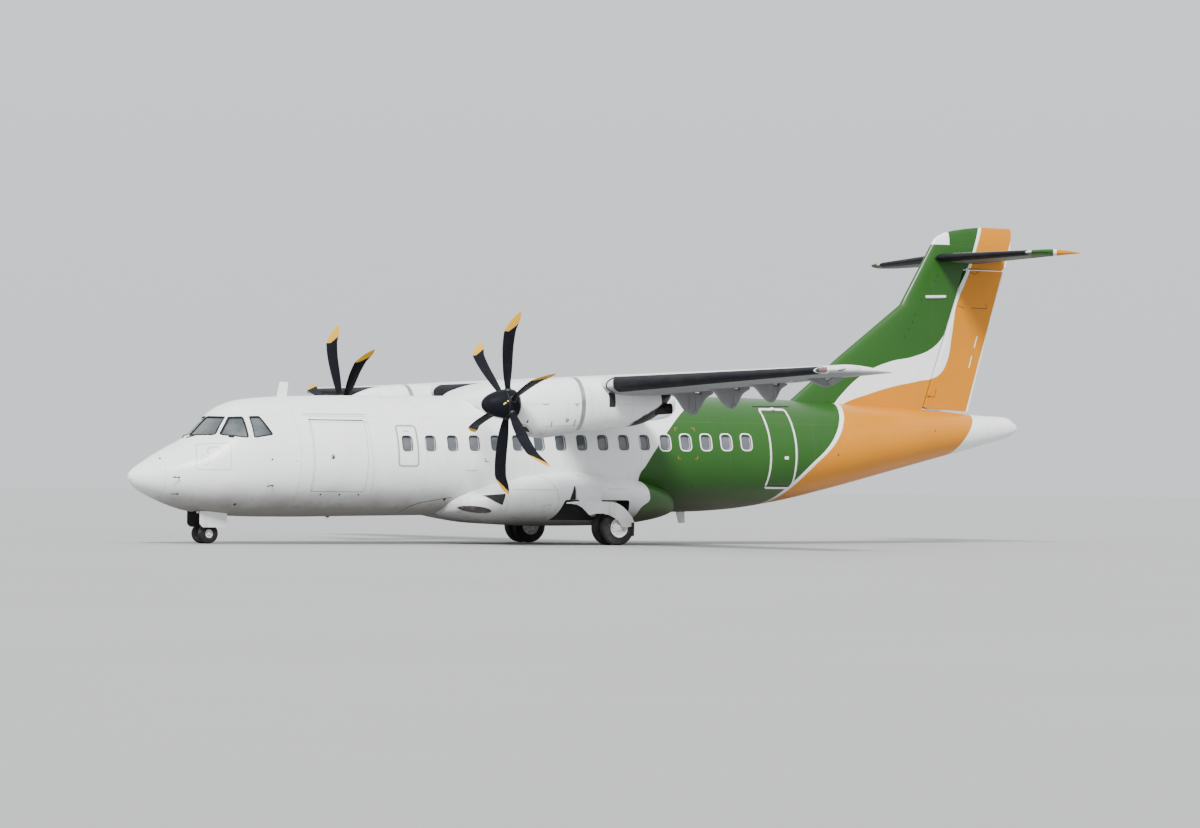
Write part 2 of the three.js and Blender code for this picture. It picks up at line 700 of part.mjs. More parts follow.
function aileron() {
  const y = AILERON_TRACK;
  const under = wingUnderside(y);
  const outline = [[AILERON.hinge - 20, under - 60], [AILERON.hinge + 20, under - 95],
    [AILERON.hinge + 210, under + 10], [AILERON.hinge + 60, under + 60]];
  const horn = slabAcross(outline, y - 45, y + 45);
  return unite(outerPanel().intersect(aileronBlock(RUN)), aileronNose(), horn);
}

function outerWing() {
  const tools = [flapBlock(FLAP_SPANS.outer, FLAP_HINGE.rise, 0), aileronBlock(0)];
  const noses = tracksOf('outer', trackNose);
  const y = AILERON_TRACK;
  const under = wingUnderside(y);
  const outline = [[10100, under + 60], [10250, under - 60], [10560, under - 110], [10618, under - 95],
    [10618, under + 60]];
  noses.push(slabAcross(outline, y - 50, y + 50));
  return unite(cut(outerPanel(), ...tools), ...noses);
}

function wingCentre() {
  const inner = flapBlock(FLAP_SPANS.inner, 0, 0);
  const [track] = tracksOf('inner', trackNose);
  const panel = cut(centreWing(), inner, mirrored(inner), wholeBodyGrown);
  return unite(panel, track, mirrored(track));
}

// Tail surfaces: half thickness as a share of the greatest, from the leading edge to the hinge
const TAIL_SECTION = [[0.65, 0.97], [0.35, 1], [0.16, 0.82], [0.06, 0.56], [0.015, 0.3]];
const TRAILING_HALF = 6;

function tailSection([, lead, hinge, trail, half], grow) {
  const side = [[trail + grow, TRAILING_HALF + grow], [hinge, 0.8 * half + grow]];
  for (const [u, share] of TAIL_SECTION) side.push([lead + u * (hinge - lead), share * half + grow]);
  const back = [...side].reverse().map(([x, t]) => [x, -t]);
  return [...side, [lead - grow, 0], ...back];
}

function finSurface() {
  return loft(FIN.map((row) => tailSection(row, 0).map(([x, t]) => [x, t, row[0]])));
}

function tailplaneSurface(grow = 0) {
  const port = [...TAILPLANE].slice(1).reverse().map(([y, ...rest]) => [-y, ...rest]);
  const rows = [...port, ...TAILPLANE];
  return loft(rows.map((row) => tailSection(row, grow).map(([x, t]) => [x, row[0], TAILPLANE_LEVEL + t])));
}

const rudderSlope = (RUDDER.high[0] - RUDDER.low[0]) / (RUDDER.high[1] - RUDDER.low[1]);

function rudderLine(z) {
  return RUDDER.low[0] + rudderSlope * (z - RUDDER.low[1]);
}

// The part of the fin's outline behind the rudder post: back is how far ahead of the hinge it starts.
function behindPost(back, low, high) {
  return slabAcross([
    [rudderLine(low) - back, low],
    [23000, low - RUDDER.footDrop * (23000 - rudderLine(low))],
    [23000, high],
    [rudderLine(high) - back, high],
  ], -600, 600);
}

function fin() {
  const gap = behindPost(RUDDER.nose.foot + 20, 2800, RUDDER.head + RUDDER.capGap);
  return cut(finSurface(), gap, wholeBodyGrown, tailplaneSurface(SEAT)).add(rudderPin(PIN.radius, 0));
}

// The rudder's upper pivot, a pin that hangs from the fin's cap, lengthened by a clearance for its hole.
function rudderPin(radius, clearance) {
  const [low, high] = [RUDDER.head - PIN.depth - clearance, RUDDER.head + RUDDER.capGap + 30];
  return bar([rudderLine(low), 0, low], [rudderLine(high), 0, high], radius);
}

function rudder() {
  const { foot: low, head: high, nose } = RUDDER;
  const edge = bar([rudderLine(low), 0, low], [rudderLine(high), 0, high], nose.foot, nose.head);
  const block = behindPost(nose.foot + 60, low, high);
  const panel = finSurface().intersect(behindPost(0, low, high));
  return panel.add(edge.intersect(block)).subtract(rudderPin(boreRadius(PIN.radius, 0.8, ROUND.bar), 0.6));
}

function elevatorBlock(gap) {
  const { hinge, spar, from, to } = ELEVATOR;
  return box(gap > 0 ? hinge : spar, 23000, from + gap, to - gap, 6000, 7400);
}

function tailplane() {
  const block = elevatorBlock(0);
  return cut(tailplaneSurface(), block, mirrored(block));
}

function elevator() {
  const { hinge, from, to } = ELEVATOR;
  const z = TAILPLANE_LEVEL;
  const nose = bar([hinge, from + RUN, z], [hinge, to - RUN, z], 90, 50);
  const pins = bar([hinge, from + PIN.end, z], [hinge, to - PIN.end, z], PIN.radius);
  return unite(tailplaneSurface().intersect(elevatorBlock(RUN)), nose, pins);
}

// Engines

function ovalRings(rows, inset, count) {
  return rows.map(([x, top, bottom, half]) => Array.from({ length: count }, (_, i) => {
    const angle = (2 * Math.PI * i) / count;
    const y = ENGINE_Y + (half - inset) * Math.cos(angle);
    return [x, y, (top + bottom) / 2 + ((top - bottom) / 2 - inset) * Math.sin(angle)];
  }));
}

const exhaustLine = [[9900, ENGINE_Y + 190, 2905], [10640, ENGINE_Y + 330, 2960]];
const exhaustHole = [[9899, ENGINE_Y + 189.8, 2904.9], [10640, ENGINE_Y + 330, 2960]];

function nacelle() {
  const inner = NACELLE.map((row) => [...row]);
  inner[0][0] -= 1;
  const ahead = inner.filter((row) => row[0] < FIREWALL);
  const wall = [FIREWALL, ...[1, 2, 3].map((k) => curveThrough(NACELLE, k)(FIREWALL))];
  const cavity = loft(ovalRings([...ahead, wall], NACELLE_WALL, ROUND.nacelle));
  const { to, halfWidth, low, high } = INTAKE;
  const intake = box(NACELLE[0][0] - 1, to, ENGINE_Y - halfWidth, ENGINE_Y + halfWidth, low, high);
  const pipe = bar(...exhaustHole, EXHAUST.radius + 2 * SEAT);
  return cut(loft(ovalRings(NACELLE, 0, ROUND.nacelle)), cavity, intake, pipe, centreWing(SEAT));
}

function engine() {
  const { from, halfWidth, low, high } = ENGINE_BLOCK;
  const block = box(from, FIREWALL - SEAT, ENGINE_Y - halfWidth, ENGINE_Y + halfWidth, low, high);
  const aft = THREE.MathUtils.degToRad(PROP.tilt);
  const along = (d) => [PROP.x + d * Math.cos(aft), ENGINE_Y, PROP.z + d * Math.sin(aft)];
  return block.add(bar(along(100 + 0.6), along(from + 30 - PROP.x), PROP.shaft));
}

function exhaust() {
  const pipe = bar(...exhaustLine, EXHAUST.radius);
  const from = new THREE.Vector3(...exhaustLine[0]);
  const to = new THREE.Vector3(...exhaustLine[1]);
  const ahead = to.clone().sub(from);
  const mouth = from.clone().addScaledVector(ahead, 0.35).toArray();
  const past = from.clone().addScaledVector(ahead, 1.05).toArray();
  return pipe.subtract(bar(mouth, past, EXHAUST.radius - EXHAUST.wall));
}

// One blade along z from the hub: each section is a lens whose chord lies along the shaft.
function blade() {
  const shape = [[-0.5, 0], [-0.3, 0.42], [0.15, 0.44], [0.5, 0], [0.15, -0.44], [-0.3, -0.42]];
  return loft(BLADE.map(([r, chord, thickness, sweep, twist]) => {
    const angle = THREE.MathUtils.degToRad(twist);
    return shape.map(([u, t]) => {
      const [a, b] = [u * chord, t * thickness];
      const [c, s] = [Math.cos(angle), Math.sin(angle)];
      return [a * c - b * s + sweep, a * s + b * c, r];
    });
  }));
}

const BLADE_ROOT = { radius: 60, to: 330 };

function aroundShaft(solid, angle) {
  return placed(solid, new THREE.Matrix4().makeRotationX(angle));
}

function propeller() {
  const one = blade().add(bar([0, 0, 60], [0, 0, BLADE_ROOT.to], BLADE_ROOT.radius, BLADE_ROOT.radius,
    ROUND.blade));
  let all = bar([-100, 0, 0], [100, 0, 0], PROP.hub);
  for (let i = 0; i < PROP.blades; i += 1) {
    all = all.add(aroundShaft(one, (2 * Math.PI * i) / PROP.blades));
  }
  return all;
}

function spinner() {
  const nose = PROP.spinner;
  const profile = [[0, -603], [70, -580], [150, -503], [225, -372], [275, -225], [nose, -60], [nose, 145],
    [0, 145]];
  const dome = placed(turned(profile, ROUND.spinner), new THREE.Matrix4().makeRotationZ(-Math.PI / 2));
  const tools = [bar([-100 - SEAT, 0, 0], [100 + SEAT, 0, 0], PROP.hub + SEAT + 2)];
  for (let i = 0; i < PROP.blades; i += 1) {
    const hole = bar([0, 0, 60], [0, 0, BLADE_ROOT.to + 20], BLADE_ROOT.radius + 1.5, BLADE_ROOT.radius + 1.5,
      ROUND.blade);
    tools.push(aroundShaft(hole, (2 * Math.PI * i) / PROP.blades));
  }
  tools.push(bar([90, 0, 0], [230, 0, 0], PROP.shaft + 8));
  return cut(dome, ...tools);
}

// Landing gear

function tyre({ radius, width, rim }) {
  const half = width / 2;
  // The flats between the corners touch the ground.
  const over = 1 / Math.cos(Math.PI / ROUND.wheel);
  const shape = [[rim, -half * 0.72], [radius * 0.8, -half], [radius * 0.95, -half * 0.86], [radius, -half * 0.55],
    [radius, half * 0.55], [radius * 0.95, half * 0.86], [radius * 0.8, half], [rim, half * 0.72]];
  const profile = [...shape, shape[0]].map(([r, d]) => [r * over, d]);
  return turned(profile, ROUND.wheel);
}

// A pair of rims on one axle, all turned about y.
function rims({ rim, width, spacing }, axle) {
  const half = width * 0.36;
  const disc = (y) => {
    const edge = rim - SEAT - 0.5;
    const profile = [[0, y - half + 30], [rim * 0.6, y - half + 30], [edge, y - half], [edge, y + half],
      [rim * 0.6, y + half - 30], [0, y + half - 30]];
    return turned(profile, ROUND.wheel);
  };
  const y = spacing / 2;
  return unite(disc(-y), disc(y), bar([0, -y, 0], [0, y, 0], axle));
}

const AXLES = { main: 45, nose: 26 };

// The eye at a leg's foot, in which the axle turns.
function axleEye(x, y, z, axle, reach, width) {
  const outside = bar([x, y - width / 2, z], [x, y + width / 2, z], reach);
  const radius = boreRadius(axle, 0.8, ROUND.bar);
  const inside = bar([x, y - width, z], [x, y + width, z], radius);
  return { outside, inside };
}

// A main leg: a trailing arm from the wheel well's wall down to the axle, with its shock strut.
function mainLeg() {
  const { x, y, radius, spacing, width } = MAIN;
  const eye = axleEye(x, y, radius, AXLES.main, 85, spacing - width - 40);
  const foot = WELL.wall + SEAT;
  const parts = [
    bar([10330, foot - 20, 872], [10330, y + 30, 866], 75),
    bar([10330, y, 866], [x, y, radius], 60),
    bar([10780, foot - 20, 900], [10380, y, 870], 45),
    box(10230, 10880, foot, foot + 60, 620, 960),
    bar([10330, y, 855], [10330, DOOR_Y - SEAT, 855], 26),
  ];
  const outsideWell = box(WELL.from, WELL.to, 0, foot, 0, 2000);
  return unite(...parts, eye.outside).subtract(eye.inside).subtract(outsideWell);
}

const DOOR_Y = 2395;
const DOOR_THICKNESS = 30;
// The main gear door's plate, which flares out from the fairing: height, front, rear, inner face
const DOOR_PLATE = [
  [1290, 9670, 10300, 1960],
  [1090, 9665, 10270, 1968],
  [1010, 9620, 10190, 2090],
  [960, 9570, 10110, 2300],
  [900, 9545, 10075, DOOR_Y],
];
// Its fender seen from the side: a slim beak ahead of the leg, and an arch over the tyre
const FENDER = {
  over: [[9190, 905], [9200, 935], [9450, 955], [9750, 955], [10300, 950], [10450, 915], [10590, 840],
    [10710, 730], [10810, 620], [10865, 520], [10870, 440], [10730, 400]],
  under: [[10560, 400], [10520, 480], [10450, 550], [10360, 610], [10230, 665], [10090, 695], [9920, 695],
    [9750, 660], [9680, 730], [9580, 820], [9450, 885], [9300, 905]],
};

// The door that hangs outside the wheel, carried by the leg.
function mainGearDoor() {
  const plate = loft(DOOR_PLATE.map(([z, front, rear, y]) => [
    [front, y, z], [rear, y, z], [rear, y + DOOR_THICKNESS, z], [front, y + DOOR_THICKNESS, z],
  ]));
  const fender = slabAcross([...FENDER.over, ...FENDER.under], DOOR_Y, DOOR_Y + DOOR_THICKNESS);
  return plate.add(fender);
}

function noseLeg() {
  const foot = 560;
  const parts = [
    bar([STEERING_X, 0, foot], [STEERING_X, 0, NOSE_BAY.roof - SEAT], 62),
    bar([2080, 0, NOSE_BAY.roof - SEAT], [STEERING_X + 20, 0, 700], 34),
    box(1640, 2140, -120, 120, NOSE_BAY.roof - 60, NOSE_BAY.roof - SEAT),
    box(STEERING_X - 130, STEERING_X - 40, -60, 60, 640, 700),
  ];
  const aboveBay = box(0, 4000, -500, 500, NOSE_BAY.roof - SEAT, 2000);
  return unite(...parts).subtract(aboveBay);
}

function noseSteering() {
  const { x, spacing, width, radius } = NOSE_WHEEL;
  const eye = axleEye(x, 0, radius, AXLES.nose, 55, spacing - width - 30);
  const parts = [
    bar([STEERING_X, 0, radius + 60], [STEERING_X, 0, 559.4], 48),
    bar([STEERING_X, 0, radius + 110], [x, 0, radius], 45),
  ];
  return unite(...parts, eye.outside).subtract(eye.inside);
}

function noseDoor() {
  const outline = [[1490, 420], [1560, 350], [2060, 350], [2110, 420], [2110, 690], [1490, 690]];
  const panel = slabAcross(outline, 335, 355);
  const hinge = box(1600, 2000, NOSE_BAY.half - 25, 336, 655, 688);
  return panel.add(hinge).subtract(wholeBodyGrown);
}

// A blade antenna: a raked thin fin with its foot in the skin.
function bladeAntenna(outline) {
  return slabAcross(outline, -14, 14).subtract(wholeBodyGrown);
}

// Assembly

const PAINT = { white: 0xe6e6e2, green: 0x46803f, orange: 0xd8962a, grey: 0x9a9c9a, dark: 0x22242a };
const finishes = {
  white: { color: PAINT.white, roughness: 0.35, metalness: 0 },
  green: { color: PAINT.green, roughness: 0.35, metalness: 0 },
  orange: { color: PAINT.orange, roughness: 0.35, metalness: 0 },
  blade: { color: PAINT.dark, roughness: 0.5, metalness: 0 },
  metal: { color: PAINT.grey, roughness: 0.4, metalness: 0.8 },
  steel: { color: 0xb8bab8, roughness: 0.3, metalness: 0.9 },
  rim: { color: 0xd0d2d0, roughness: 0.4, metalness: 0.6 },
  rubber: { color: 0x1b1b1c, roughness: 0.9, metalness: 0 },
  glass: { color: 0x30383c, roughness: 0.1, metalness: 0 },
  lining: { color: 0x4a4e50, roughness: 0.8, metalness: 0 },
};

function piece(name, solid, finish) {
  const mesh = new THREE.Mesh(toGeometry(solid), new THREE.MeshStandardMaterial(finishes[finish]));
  mesh.name = name;
  return mesh;
}

const aircraft = new THREE.Group();
aircraft.position.x = -LENGTH / 2;

aircraft.add(
  piece('radome', fuselage(0, RADOME_END), 'white'),
  piece('nose_section', noseSection(), 'white'),
  piece('flight_deck_glazing', glazing(), 'glass'),
  piece('flight_deck_interior', flightDeckInterior(), 'lining'),
  piece('forward_fuselage', forwardFuselage(), 'white'),
  piece('cargo_door', cargoDoor(), 'white'),
  piece('centre_fuselage', fuselage(FORWARD_END, CENTRE_END), 'white'),
  piece('aft_fuselage', aftFuselage(), 'green'),
  piece('passenger_door', passengerDoor(), 'green'),
  piece('service_door', serviceDoor(), 'green'),
  piece('tail_fuselage', tailFuselage(), 'orange'),
  piece('tail_cone', tailCone(), 'white'),
  piece('main_gear_fairing', gearFairing(), 'white'),
  piece('wing_body_fairing', wingFairing(), 'white'),
  piece('wing_centre', wingCentre(), 'white'),
  piece('fin', fin(), 'green'),
  piece('rudder', rudder(), 'orange'),
  piece('tailplane', tailplane(), 'white'),
  piece('top_antenna', bladeAntenna([[3380, 3100], [3460, 3490], [3670, 3490], [3620, 3100]]), 'white'),
  piece('belly_antenna', bladeAntenna([[13300, 800], [13390, 450], [13560, 450], [13545, 800]]), 'white'),
  piece('nose_leg', noseLeg(), 'metal'),
  piece('nose_steering', noseSteering(), 'steel'),
);

// Half a facet's turn stands the tyres on a flat, and turns the axles' corners to the eyes' flats.
const HALF_FACET = { tyre: Math.PI / ROUND.wheel, axle: Math.PI / ROUND.bar };

// What the two sides have alike is modelled to starboard and mirrored to port.
for (const side of ['left', 'right']) {
  const onSide = side === 'left' ? mirrored : (solid) => solid;
  aircraft.add(
    piece(`wing_outer_${side}`, onSide(outerWing()), 'white'),
    piece(`flap_inner_${side}`, onSide(flap('inner')), 'white'),
    piece(`flap_outer_${side}`, onSide(flap('outer')), 'white'),
    piece(`aileron_${side}`, onSide(aileron()), 'white'),
    piece(`elevator_${side}`, onSide(elevator()), 'white'),
    piece(`nacelle_${side}`, onSide(nacelle()), 'white'),
    piece(`engine_${side}`, onSide(engine()), 'metal'),
    piece(`exhaust_${side}`, onSide(exhaust()), 'metal'),
    piece(`main_leg_${side}`, onSide(mainLeg()), 'metal'),
    piece(`main_gear_door_${side}`, onSide(mainGearDoor()), 'white'),
    piece(`nose_gear_door_${side}`, onSide(noseDoor()), 'white'),
  );

  const sign = side === 'left' ? -1 : 1;
  const turning = new THREE.Group();
  turning.position.set(PROP.x, sign * ENGINE_Y, PROP.z);
  turning.rotation.y = -THREE.MathUtils.degToRad(PROP.tilt);
  const phase = THREE.MathUtils.degToRad(BLADE_PHASES[side]);
  turning.add(
    piece(`propeller_${side}`, aroundShaft(propeller(), phase), 'blade'),
    piece(`spinner_${side}`, aroundShaft(spinner(), phase), 'blade'),
  );

  const mainWheels = new THREE.Group();
  mainWheels.position.set(MAIN.x, sign * MAIN.y, MAIN.radius);
  const axle = piece(`main_wheels_${side}`, rims(MAIN, AXLES.main), 'rim');
  axle.rotation.y = HALF_FACET.axle;
  mainWheels.add(axle);
  for (const [place, offset] of [['inner', -sign], ['outer', sign]]) {
    const mesh = piece(`main_tyre_${side}_${place}`, tyre(MAIN), 'rubber');
    mesh.position.y = (offset * MAIN.spacing) / 2;
    mesh.rotation.y = HALF_FACET.tyre;
    mainWheels.add(mesh);
  }

  const noseTyre = piece(`nose_tyre_${side}`, tyre(NOSE_WHEEL), 'rubber');
  noseTyre.position.set(NOSE_WHEEL.x, (sign * NOSE_WHEEL.spacing) / 2, NOSE_WHEEL.radius);
  noseTyre.rotation.y = HALF_FACET.tyre;
  aircraft.add(turning, mainWheels, noseTyre);
}

const noseWheels = piece('nose_wheels', rims(NOSE_WHEEL, AXLES.nose), 'rim');
noseWheels.position.set(NOSE_WHEEL.x, 0, NOSE_WHEEL.radius);
noseWheels.rotation.y = HALF_FACET.axle;
aircraft.add(noseWheels);

export default aircraft;
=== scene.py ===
# %% [markdown]
# # A twin-turboprop regional airliner
#
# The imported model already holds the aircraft's true sizes, its joints and its solids. This file gives
# it its looks: smooth skins, glass, paint, rubber and dirt. Each step first says what the real piece
# is, how it could be made, and why one way was chosen. Every length is in metres. A station is a
# distance aft of the nose tip, so a reader can follow the tables with a drawing of the aircraft.

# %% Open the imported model
import json
import math

import bmesh
import bpy
import numpy as np
from mathutils import Matrix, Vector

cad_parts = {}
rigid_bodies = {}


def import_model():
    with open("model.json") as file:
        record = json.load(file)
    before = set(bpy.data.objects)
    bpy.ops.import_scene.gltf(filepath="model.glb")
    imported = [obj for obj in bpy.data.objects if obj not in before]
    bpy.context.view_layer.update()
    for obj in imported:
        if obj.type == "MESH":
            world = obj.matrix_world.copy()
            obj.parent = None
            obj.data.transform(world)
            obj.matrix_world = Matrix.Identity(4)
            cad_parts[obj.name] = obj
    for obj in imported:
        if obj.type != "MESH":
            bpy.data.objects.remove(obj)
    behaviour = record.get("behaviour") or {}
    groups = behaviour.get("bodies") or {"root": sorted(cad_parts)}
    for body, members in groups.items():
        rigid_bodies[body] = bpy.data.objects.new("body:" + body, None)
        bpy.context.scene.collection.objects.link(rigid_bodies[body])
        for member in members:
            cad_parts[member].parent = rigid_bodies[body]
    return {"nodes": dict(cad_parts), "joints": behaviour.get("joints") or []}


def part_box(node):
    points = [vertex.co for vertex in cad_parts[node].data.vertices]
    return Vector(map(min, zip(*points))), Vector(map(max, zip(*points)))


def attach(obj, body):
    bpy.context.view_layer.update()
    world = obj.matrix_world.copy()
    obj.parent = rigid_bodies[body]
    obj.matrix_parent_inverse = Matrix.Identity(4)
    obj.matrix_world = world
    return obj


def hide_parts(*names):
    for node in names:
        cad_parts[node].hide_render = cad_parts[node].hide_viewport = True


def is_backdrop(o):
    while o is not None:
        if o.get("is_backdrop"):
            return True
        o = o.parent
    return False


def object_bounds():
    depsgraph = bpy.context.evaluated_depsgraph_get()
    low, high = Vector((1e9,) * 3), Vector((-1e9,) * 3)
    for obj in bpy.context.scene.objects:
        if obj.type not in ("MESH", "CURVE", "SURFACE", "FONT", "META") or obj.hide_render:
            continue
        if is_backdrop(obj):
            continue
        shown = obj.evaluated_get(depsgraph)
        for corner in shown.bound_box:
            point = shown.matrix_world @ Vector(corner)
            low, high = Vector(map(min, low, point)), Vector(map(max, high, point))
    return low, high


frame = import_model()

CAD_BOX = [list(corner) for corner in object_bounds()]
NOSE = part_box("radome")[0].x
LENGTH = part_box("tail_cone")[1].x - NOSE
HALF_SPAN = CAD_BOX[1][1]
SIDES = {"left": -1, "right": 1}
print(f"{len(frame['nodes'])} nodes; {LENGTH:.2f} m long, {2 * HALF_SPAN:.2f} m in span")

# %% [markdown]
# ## The camera
#
# The photograph was taken from almost 90 m away with a long lens, 1.3 m above the wheels' ground. Its
# place was worked out once from the wheels, the propellers and the tail, whose real places are
# known. A camera is placed by its position and by three directions: where it looks, its right and
# its up. The picture leans by half a degree, so right and up are turned about the line of sight.

# %% Place the camera
PICTURE = (1200, 828)
LENS_PIXELS = 3870.9
camera_place = np.array([NOSE - 30.842, -75.970, 1.258])
yaw, pitch, roll = np.radians([29.037, 1.089, 0.478])

sight = np.array([math.sin(yaw) * math.cos(pitch), math.cos(yaw) * math.cos(pitch), math.sin(pitch)])
level_right = np.array([math.cos(yaw), -math.sin(yaw), 0])
level_up = np.cross(level_right, sight)
right = math.cos(roll) * level_right + math.sin(roll) * level_up
up = math.cos(roll) * level_up - math.sin(roll) * level_right

camera = bpy.data.objects.new("camera", bpy.data.cameras.new("camera"))
bpy.context.scene.collection.objects.link(camera)
turn = np.column_stack([right, up, -sight])
camera.matrix_world = Matrix([[*row, place] for row, place in zip(turn, camera_place)] + [[0, 0, 0, 1]])
camera.data.sensor_width = 36
camera.data.lens = LENS_PIXELS * 36 / PICTURE[0]
camera.data.clip_end = 1000
bpy.context.scene.camera = camera
print(f"camera {np.linalg.norm(camera_place):.0f} m away, lens {camera.data.lens:.0f} mm")

# %% [markdown]
# ## Curves and meshes
#
# An aircraft's skin is drawn from a few measured sections with a smooth curve through them. An
# ordinary spline swings past its points, which puts a bump into a straight barrel. The curve here
# never does: between two points it is a cubic, and its slope at a point is a mean of the slopes on
# both sides that falls to nothing where the curve turns back.

# %% A curve through a table
def curve_through(rows, column):
    """Returns a function of the station, which is the table's first column.

    On each stretch the curve is v0 (1 + 2t) s s + v1 (3 - 2t) t t + h s t (m0 s - m1 t), where t runs
    from 0 to 1, s is 1 - t, h the stretch's length and m0, m1 the slopes at its ends.
    """
    x, v = rows[:, 0], rows[:, column]
    step = np.diff(x)
    rise = np.diff(v) / step
    before, after = rise[:-1], rise[1:]
    w1 = 2 * step[1:] + step[:-1]
    w2 = step[1:] + 2 * step[:-1]
    with np.errstate(divide="ignore", invalid="ignore"):
        mean = (w1 + w2) / (w1 / before + w2 / after)
    slope = np.concatenate([rise[:1], np.where(before * after <= 0, 0, mean), rise[-1:]])

    def at(value):
        value = np.asarray(value, float)
        i = np.clip(np.searchsorted(x, value, side="right") - 1, 0, len(step) - 1)
        t = (value - x[i]) / step[i]
        s = 1 - t
        ends = v[i] * (1 + 2 * t) * s * s + v[i + 1] * (3 - 2 * t) * t * t
        return ends + step[i] * s * t * (slope[i] * s - slope[i + 1] * t)

    return at


# %% Meshes from grids of points
SHARP_EDGE = math.radians(35)


def new_object(name, data):
    """An object in the scene that shows the given mesh or lamp."""
    made = bpy.data.objects.new(name, data)
    bpy.context.scene.collection.objects.link(made)
    return made


def tidy(piece):
    """Turns every face outwards and shades the surface smooth, but not over a sharp edge."""
    bm = bmesh.new()
    bm.from_mesh(piece.data)
    bmesh.ops.recalc_face_normals(bm, faces=bm.faces)
    bm.to_mesh(piece.data)
    bm.free()
    piece.data.shade_smooth()
    piece.data.set_sharp_from_angle(angle=SHARP_EDGE)
    return piece


def new_piece(name, points, faces):
    """A mesh object from points given by station, side and height."""
    mesh = bpy.data.meshes.new(name)
    mesh.from_pydata(np.asarray(points, float) + (NOSE, 0, 0), [], faces)
    return tidy(new_object(name, mesh))


def ring_faces(rings, count, closed=False):
    """Four-sided faces between rings of count points; a closed one joins the last ring to the first."""
    i, j = np.meshgrid(np.arange(rings if closed else rings - 1), np.arange(count), indexing="ij")
    here, there = i * count, ((i + 1) % rings) * count
    beside = (j + 1) % count
    return np.stack([here + j, here + beside, there + beside, there + j], -1).reshape(-1, 4).tolist()


def loft(name, rings, first=None, last=None):
    """A closed skin over rings, an array of (ring, point, 3). An end is flat, or a fan around its tip."""
    rings = np.asarray(rings, float)
    number, count, _ = rings.shape
    points = rings.reshape(-1, 3)
    faces = ring_faces(number, count)
    for tip, start in ((first, 0), (last, (number - 1) * count)):
        around = list(range(start, start + count))
        if tip is None:
            faces.append(around)
        else:
            points = np.vstack([points, tip])
            faces += [[len(points) - 1, a, b] for a, b in zip(around, around[1:] + around[:1])]
    return new_piece(name, points, faces)


def loop_of(name, rings):
    """A closed skin over rings that run round and meet again, like a hoop."""
    rings = np.asarray(rings, float)
    return new_piece(name, rings.reshape(-1, 3), ring_faces(*rings.shape[:2], closed=True))


def halved(low, high, reached, rounds=30):
    """Narrows an interval for each point: its middle becomes the low end where reached says so, else
    the high end."""
    for _ in range(rounds):
        middle = (low + high) / 2
        up = reached(middle)
        low, high = np.where(up, middle, low), np.where(up, high, middle)
    return low


# %% Cutting and joining
def carve(piece, cutter, how="DIFFERENCE", keep=False):
    """Cuts a piece with another closed piece, or keeps what they share, and deletes the cutter."""
    modifier = piece.modifiers.new("cut", "BOOLEAN")
    modifier.operation = how
    modifier.solver = "MANIFOLD"
    modifier.object = cutter
    cut = bpy.data.meshes.new_from_object(piece.evaluated_get(bpy.context.evaluated_depsgraph_get()))
    piece.modifiers.clear()
    piece.data = cut
    if not keep:
        bpy.data.objects.remove(cutter)
    return tidy(piece)


def joined(name, parts):
    """One piece from several, each keeping its own closed surface."""
    bm = bmesh.new()
    for part in parts:
        bm.from_mesh(part.data)
        bpy.data.objects.remove(part)
    mesh = bpy.data.meshes.new(name)
    bm.to_mesh(mesh)
    bm.free()
    return new_object(name, mesh)


def mirrored(piece, name):
    """A copy on the other side of the plane of symmetry."""
    other = new_object(name, piece.data.copy())
    points = np.empty(len(other.data.vertices) * 3, np.float32)
    other.data.vertices.foreach_get("co", points)
    points[1::3] *= -1
    other.data.vertices.foreach_set("co", points)
    other.data.update()
    return tidy(other)


def dress(piece, material, slot, body="airframe", replaces=()):
    """Gives a finished piece its material and its body, and hides the nodes it stands for; the slot is not
    used.
    """
    piece.data.materials.clear()
    piece.data.materials.append(material)
    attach(piece, body)
    if replaces:
        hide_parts(*replaces)
    return piece


# %% Outlines, slabs and turned pieces
def rectangle(x0, x1, z0, z1):
    """The corners of an upright rectangle, anticlockwise."""
    return [(x0, z0), (x1, z0), (x1, z1), (x0, z1)]


def rounded(corners, radius, steps=6):
    """An outline with its corners rounded: each is a curve (1-t)(1-t) A + 2t(1-t) P + t t B from a
    point A before the corner P to a point B after it, both the radius away along the sides."""
    corners = np.asarray(corners, float)
    t = np.linspace(0, 1, steps)[None, :, None]
    before, after = np.roll(corners, 1, 0) - corners, np.roll(corners, -1, 0) - corners
    a = corners + radius * before / np.linalg.norm(before, axis=1, keepdims=True)
    b = corners + radius * after / np.linalg.norm(after, axis=1, keepdims=True)
    curve = (1 - t) ** 2 * a[:, None] + 2 * t * (1 - t) * corners[:, None] + t ** 2 * b[:, None]
    return curve.reshape(-1, 2)


def ellipse(x, z, half_x, half_z, count=32):
    """An outline with the given centre and half sizes, anticlockwise."""
    a = np.linspace(0, 2 * np.pi, count, endpoint=False)
    return np.stack([x + half_x * np.cos(a), z + half_z * np.sin(a)], -1)


def anticlockwise(outline):
    """The outline in the order in which its area, half the sum of x z' - x' z, is positive."""
    outline = np.asarray(outline, float)
    ahead = np.roll(outline, -1, 0)
    area = np.sum(outline[:, 0] * ahead[:, 1] - ahead[:, 0] * outline[:, 1])
    return outline if area > 0 else outline[::-1]


# %% Slabs, turned pieces, rods and blocks
def slab(name, outline, y0, y1):
    """An outline in station and height, pushed across from y0 to y1."""
    outline = np.asarray(outline, float)
    rings = [np.column_stack([outline[:, 0], np.full(len(outline), y), outline[:, 1]]) for y in (y0, y1)]
    return loft(name, rings)


